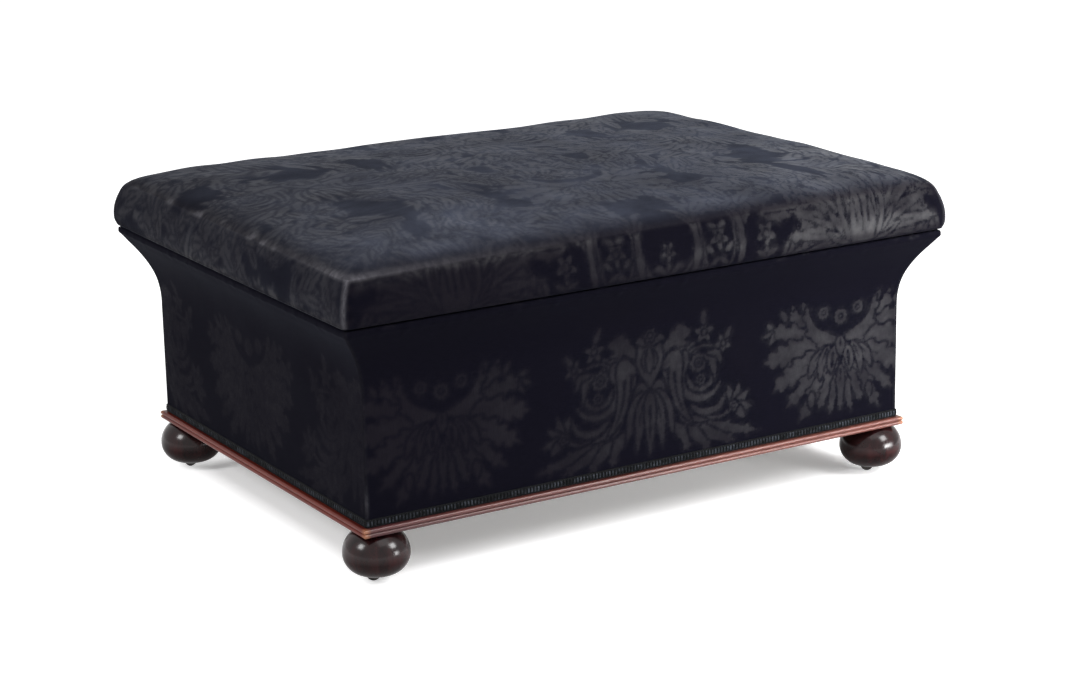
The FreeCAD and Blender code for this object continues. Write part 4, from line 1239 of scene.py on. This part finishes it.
def lid_side(work, side):
    along_x = side in ("front", "back")
    sign = -1.0 if side in ("front", "left") else 1.0
    line, half, far_half = lid_rows, lid_y_half, lid_x_half
    if along_x:
        line, half, far_half = lid_columns, lid_x_half, lid_y_half
    inset = lid_full_path[:, :1]
    level = np.repeat(lid_full_path[:, 1:], len(line), axis=1)
    down = path_lengths(lid_full_path)[:, None]
    run = (half_length if along_x else half_depth) - inset
    across = (half_depth if along_x else half_length) - inset
    from_end = (half - np.abs(line))[None, :]
    inner = smoothstep(0.0, end_blend_share, from_end / half)
    along = np.sign(line) * ((1 - inner) * (run - from_end) + inner * np.abs(line))
    out = np.broadcast_to(sign * across, along.shape)
    px, py = to_ring(*((along, out) if along_x else (out, along)), np.broadcast_to(inset, along.shape))
    share = np.clip((level - lid_base) / lid_height, 0, 1)
    z = level + lid_bow(px, py, share)
    push = sign * lid_side_push(side, along, level, share, from_end)
    px, py = (px, py + push) if along_x else (px + push, py)
    # Wear and painted highlight down the lid's corner seams and along its crest.
    wear = lid_seam_wear_and_highlight * bell(from_end, lid_seam_width) + crest_wear_and_highlight(px, py, down, side_crest_width)
    front_gloss = smoothstep(lid_front_dull_from, lid_front_glossy_from, px)
    front_gloss = lid_front_dull_gloss + lid_front_gloss_gain * front_gloss
    own_gloss = lid_side_gloss.get(side, front_gloss)
    below_crest = smoothstep(0.0, side_end_reach, down)
    gloss = top_gloss(px, py) * (1 - below_crest) + own_gloss * below_crest
    gloss = gloss * smoothstep(gloss_end_from, gloss_end_to, from_end) * smoothstep(*side_gloss_shares, share)
    # Painted sheen on the lid's side, with more of it on the left side.
    faded = lid_painted_sheen(px, py, share)
    if side == "left":
        faded = faded + left_painted_sheen * smoothstep(*left_painted_sheen_shares, share)
    far = np.broadcast_to(sign * (far_half + down), along.shape)
    keep = ~lid_notches(px, py, z) if side == "back" else None
    work.add(stacked(px, py, z), flip=side in ("front", "right"), keep=keep,
             wear=wear * (share > lid_fold_share), gloss=gloss, faded=faded,
             **lid_cloth(*((along, far) if along_x else (far, along))))


def lid_notches(x, y, z):
    """Faces of the lid's cloth that are cut away round the hinge barrels and leaves."""
    low = middles(z) < hinge_height + hinge_notch_reach
    return beside_hinge(middles(x)) & low & (middles(y) > half_depth - leaf_room_depth)


def lid_cushion():
    """The stuffed lid: crowned top, sides that swell, corners sewn into a ridge, and turned-under edge."""
    work = Patchwork()
    lid_top(work)
    for side in ("front", "right", "back", "left"):
        lid_side(work, side)
    obj = work.build("lid_cushion")
    dress(obj, damask_cloth, "lid", "damask", "lid_cover", "lid_stuffing")


# Linings

lining_skin = 1.0 * MM
lining_step = 6.0 * MM
lining_soft = 0.25 * MM
lining_soft_wave = 90.0 * MM
soft_ends = 30.0 * MM
dust_cloth_sag, sag_unevenness = 3.0 * MM, 0.2
dust_cloth_lift = 0.2 * MM
hessian_drop = 0.4 * MM
sag_from, sag_to, sag_wave = 60.0 * MM, 260.0 * MM, 200.0 * MM
sheet_ripple, ripple_wave = 0.15 * MM, 50.0 * MM
hessian_step = 8.0 * MM
web_width = 50.0 * MM
web_thickness = 1.5 * MM
web_pitch = 95.0 * MM
web_step = 8.0 * MM
web_dip = 0.3 * MM
web_belly = 0.35 * MM


def spread(half, step):
    return np.linspace(-half, half, int(2 * half / step) + 1)


def flat_sheet(name, x_half, y_half, level, sag, step, holes=()):
    """A level cloth with a soft sag."""
    x, y = np.meshgrid(spread(x_half, step), spread(y_half, step))
    edge = np.minimum(x_half - np.abs(x), y_half - np.abs(y))
    uneven = 1 - sag_unevenness + sag_unevenness * lumps(x, y, sag_wave, 14)
    z = level - sag * smoothstep(sag_from, sag_to, edge) * uneven
    z = z + sheet_ripple * lumps(x, y, ripple_wave, 17) * smoothstep(0.0, soft_ends, edge)
    xm, ym = middles(x), middles(y)
    keep = np.ones(xm.shape, bool)
    for x0, x1, y0, y1 in holes:
        keep &= ~((xm > x0) & (xm < x1) & (ym > y0) & (ym < y1))
    work = Patchwork()
    work.add(stacked(x, y, z), keep=keep, cloth=stacked(x, y, 0.0))
    return work.build(name)


def lid_dust_cloth():
    low, high = lid_lining_low, lid_lining_high
    holes = [(s * hinge_offset - hinge_notch_half, s * hinge_offset + hinge_notch_half,
              half_depth - leaf_room_depth, half_depth) for s in (-1, 1)]
    level = low.z + dust_cloth_lift
    obj = flat_sheet("lid_dust_cloth", high.x, high.y, level, dust_cloth_sag, lining_step, holes)
    for polygon in obj.data.polygons:
        polygon.flip()
    dress(obj, dust_cotton, "lid", "lining_cotton", "lid_lining")


def soft(a, b, seed, edge):
    return lining_soft * lumps(a, b, lining_soft_wave, seed) * smoothstep(0.0, soft_ends, edge)


def box_lining_cloth():
    """Cotton glued into the box, over its bottom and four sides."""
    x_half = lining_high.x - lining_skin
    y_half = lining_high.y - lining_skin
    low, high = lining_low.z + lining_skin, lining_high.z
    xs, ys = spread(x_half, lining_step), spread(y_half, lining_step)
    zs = np.linspace(low, high, int((high - low) / lining_step) + 1)
    x, y = np.meshgrid(xs, ys)
    edge = np.minimum(x_half - np.abs(x), y_half - np.abs(y))
    work = Patchwork()
    work.add(stacked(x, y, low + soft(x, y, 41, edge)), cloth=stacked(x, y, 0.0))
    for sign in (-1, 1):
        for line, half, far_half, seed, layer in ((xs, x_half, y_half, 43, 0.2),
                                                  (ys, y_half, x_half, 47, 0.4)):
            a, z = np.meshgrid(line, zs)
            edge = np.minimum(np.minimum(half - np.abs(a), z - low), high - z)
            out = sign * (far_half - np.abs(soft(a, z, seed + sign, edge)))
            along_x = line is xs
            work.add(stacked(a, out, z) if along_x else stacked(out, a, z), flip=(sign > 0) == along_x,
                     cloth=stacked(a, z, layer))
    obj = work.build("box_lining_cloth")
    dress(obj, lining_cotton, "carcass", "lining_cotton", "box_lining")


def web_places(half_span):
    count = int(2 * half_span // web_pitch)
    return [-web_pitch * (count - 1) / 2 + i * web_pitch for i in range(count)]


def lid_webs():
    """Striped webs, the long ones laid over the cross ones."""
    x_half, y_half = webbing_high.x, webbing_high.y
    work = Patchwork()
    for along_x, half, far_half in ((False, y_half, x_half), (True, x_half, y_half)):
        low = webbing_low.z + (web_thickness if along_x else 0.0)
        for place in web_places(far_half - web_width / 2):
            a, w = np.meshgrid(spread(half, web_step), np.linspace(0, 1, 9))
            across = place + (w - 0.5) * web_width
            z = low + web_thickness / 2 + web_dip * np.sin(a / web_pitch * math.tau)
            for side in (1, -1):
                level = z + side * web_belly * np.sin(np.pi * w)
                work.add(stacked(a, across, level) if along_x else stacked(across, a, level),
                         flip=(side < 0) == along_x, cloth=stacked(a, across, w))
    dress(work.build("lid_webs"), webbing_jute, "lid", "webbing", "lid_webbing")


def lid_hessian_cloth():
    high = hessian_high
    obj = flat_sheet("lid_hessian_cloth", high.x, high.y, high.z - hessian_drop, 0.0, hessian_step)
    dress(obj, hessian_jute, "lid", "hessian", "lid_hessian")


# Stage

studio_fill_level = 0.30
floor_half = 30.0


def make_floor():
    x, y = np.meshgrid((-floor_half, floor_half), (-floor_half, floor_half))
    work = Patchwork()
    work.add(stacked(x, y, 0.0))
    obj = work.build("floor")
    obj.data.materials.append(floor_material())


def make_world():
    """White where it is seen directly or mirrored, and an even soft fill for everything else."""
    world = bpy.data.worlds.new("studio")
    bpy.context.scene.world = world
    n = Nodes(world, "OutputWorld")
    strength = n.seen_directly().to(0.0, 1.0, studio_fill_level, 1.0)
    n.show(n.value("Background", Color=(1.0, 1.0, 1.0), Strength=strength))


def softbox(name, place, target, width, height, power, spread_angle=180.0):
    light = bpy.data.lights.new(name, "AREA")
    light.shape = "RECTANGLE"
    light.size = width
    light.size_y = height
    light.energy = power
    light.spread = math.radians(spread_angle)
    obj = new_object(name, light)
    obj.location = place
    obj.rotation_euler = (Vector(target) - Vector(place)).to_track_quat("-Z", "Y").to_euler()


def make_lights():
    centre = (0.0, 0.0, 0.3)
    softbox("top_softbox", (0.1, -1.55, 2.9), centre, 2.0, 2.0, 18.0)
    softbox("left_softbox", (-2.55, -0.16, 1.68), centre, 0.80, 0.80, 38.0)
    softbox("right_softbox", (1.26, -2.09, 1.78), centre, 0.95, 0.95, 58.0)
    softbox("front_panel_light", (1.7, -1.85, 0.26), (1.05, -0.33, 0.24), 1.6, 0.45, 14.0, 66.0)


def make_camera():
    camera = bpy.data.cameras.new("camera")
    camera.sensor_width = sensor_width
    camera.lens = sensor_width * focal_pixels / photo_width
    obj = new_object("camera", camera)
    forward = Vector((-math.sin(camera_yaw) * math.cos(camera_pitch),
                      math.cos(camera_yaw) * math.cos(camera_pitch), -math.sin(camera_pitch)))
    right = forward.cross(Vector((0, 0, 1))).normalized()
    up = right.cross(forward)
    c, s = math.cos(camera_roll), math.sin(camera_roll)
    right, up = right * c + up * s, up * c - right * s
    turn = Matrix((right, up, -forward)).transposed().to_4x4()
    obj.matrix_world = Matrix.Translation(camera_place) @ turn
    bpy.context.scene.camera = obj


bpy.context.scene.view_settings.view_transform = "Standard"
make_camera()
finish_cad_nodes()
for side in ("front", "back", "left", "right"):
    box_cover(side)
gimp_braid()
lid_cushion()
lid_dust_cloth()
box_lining_cloth()
lid_webs()
lid_hessian_cloth()
make_floor()
make_world()
make_lights()
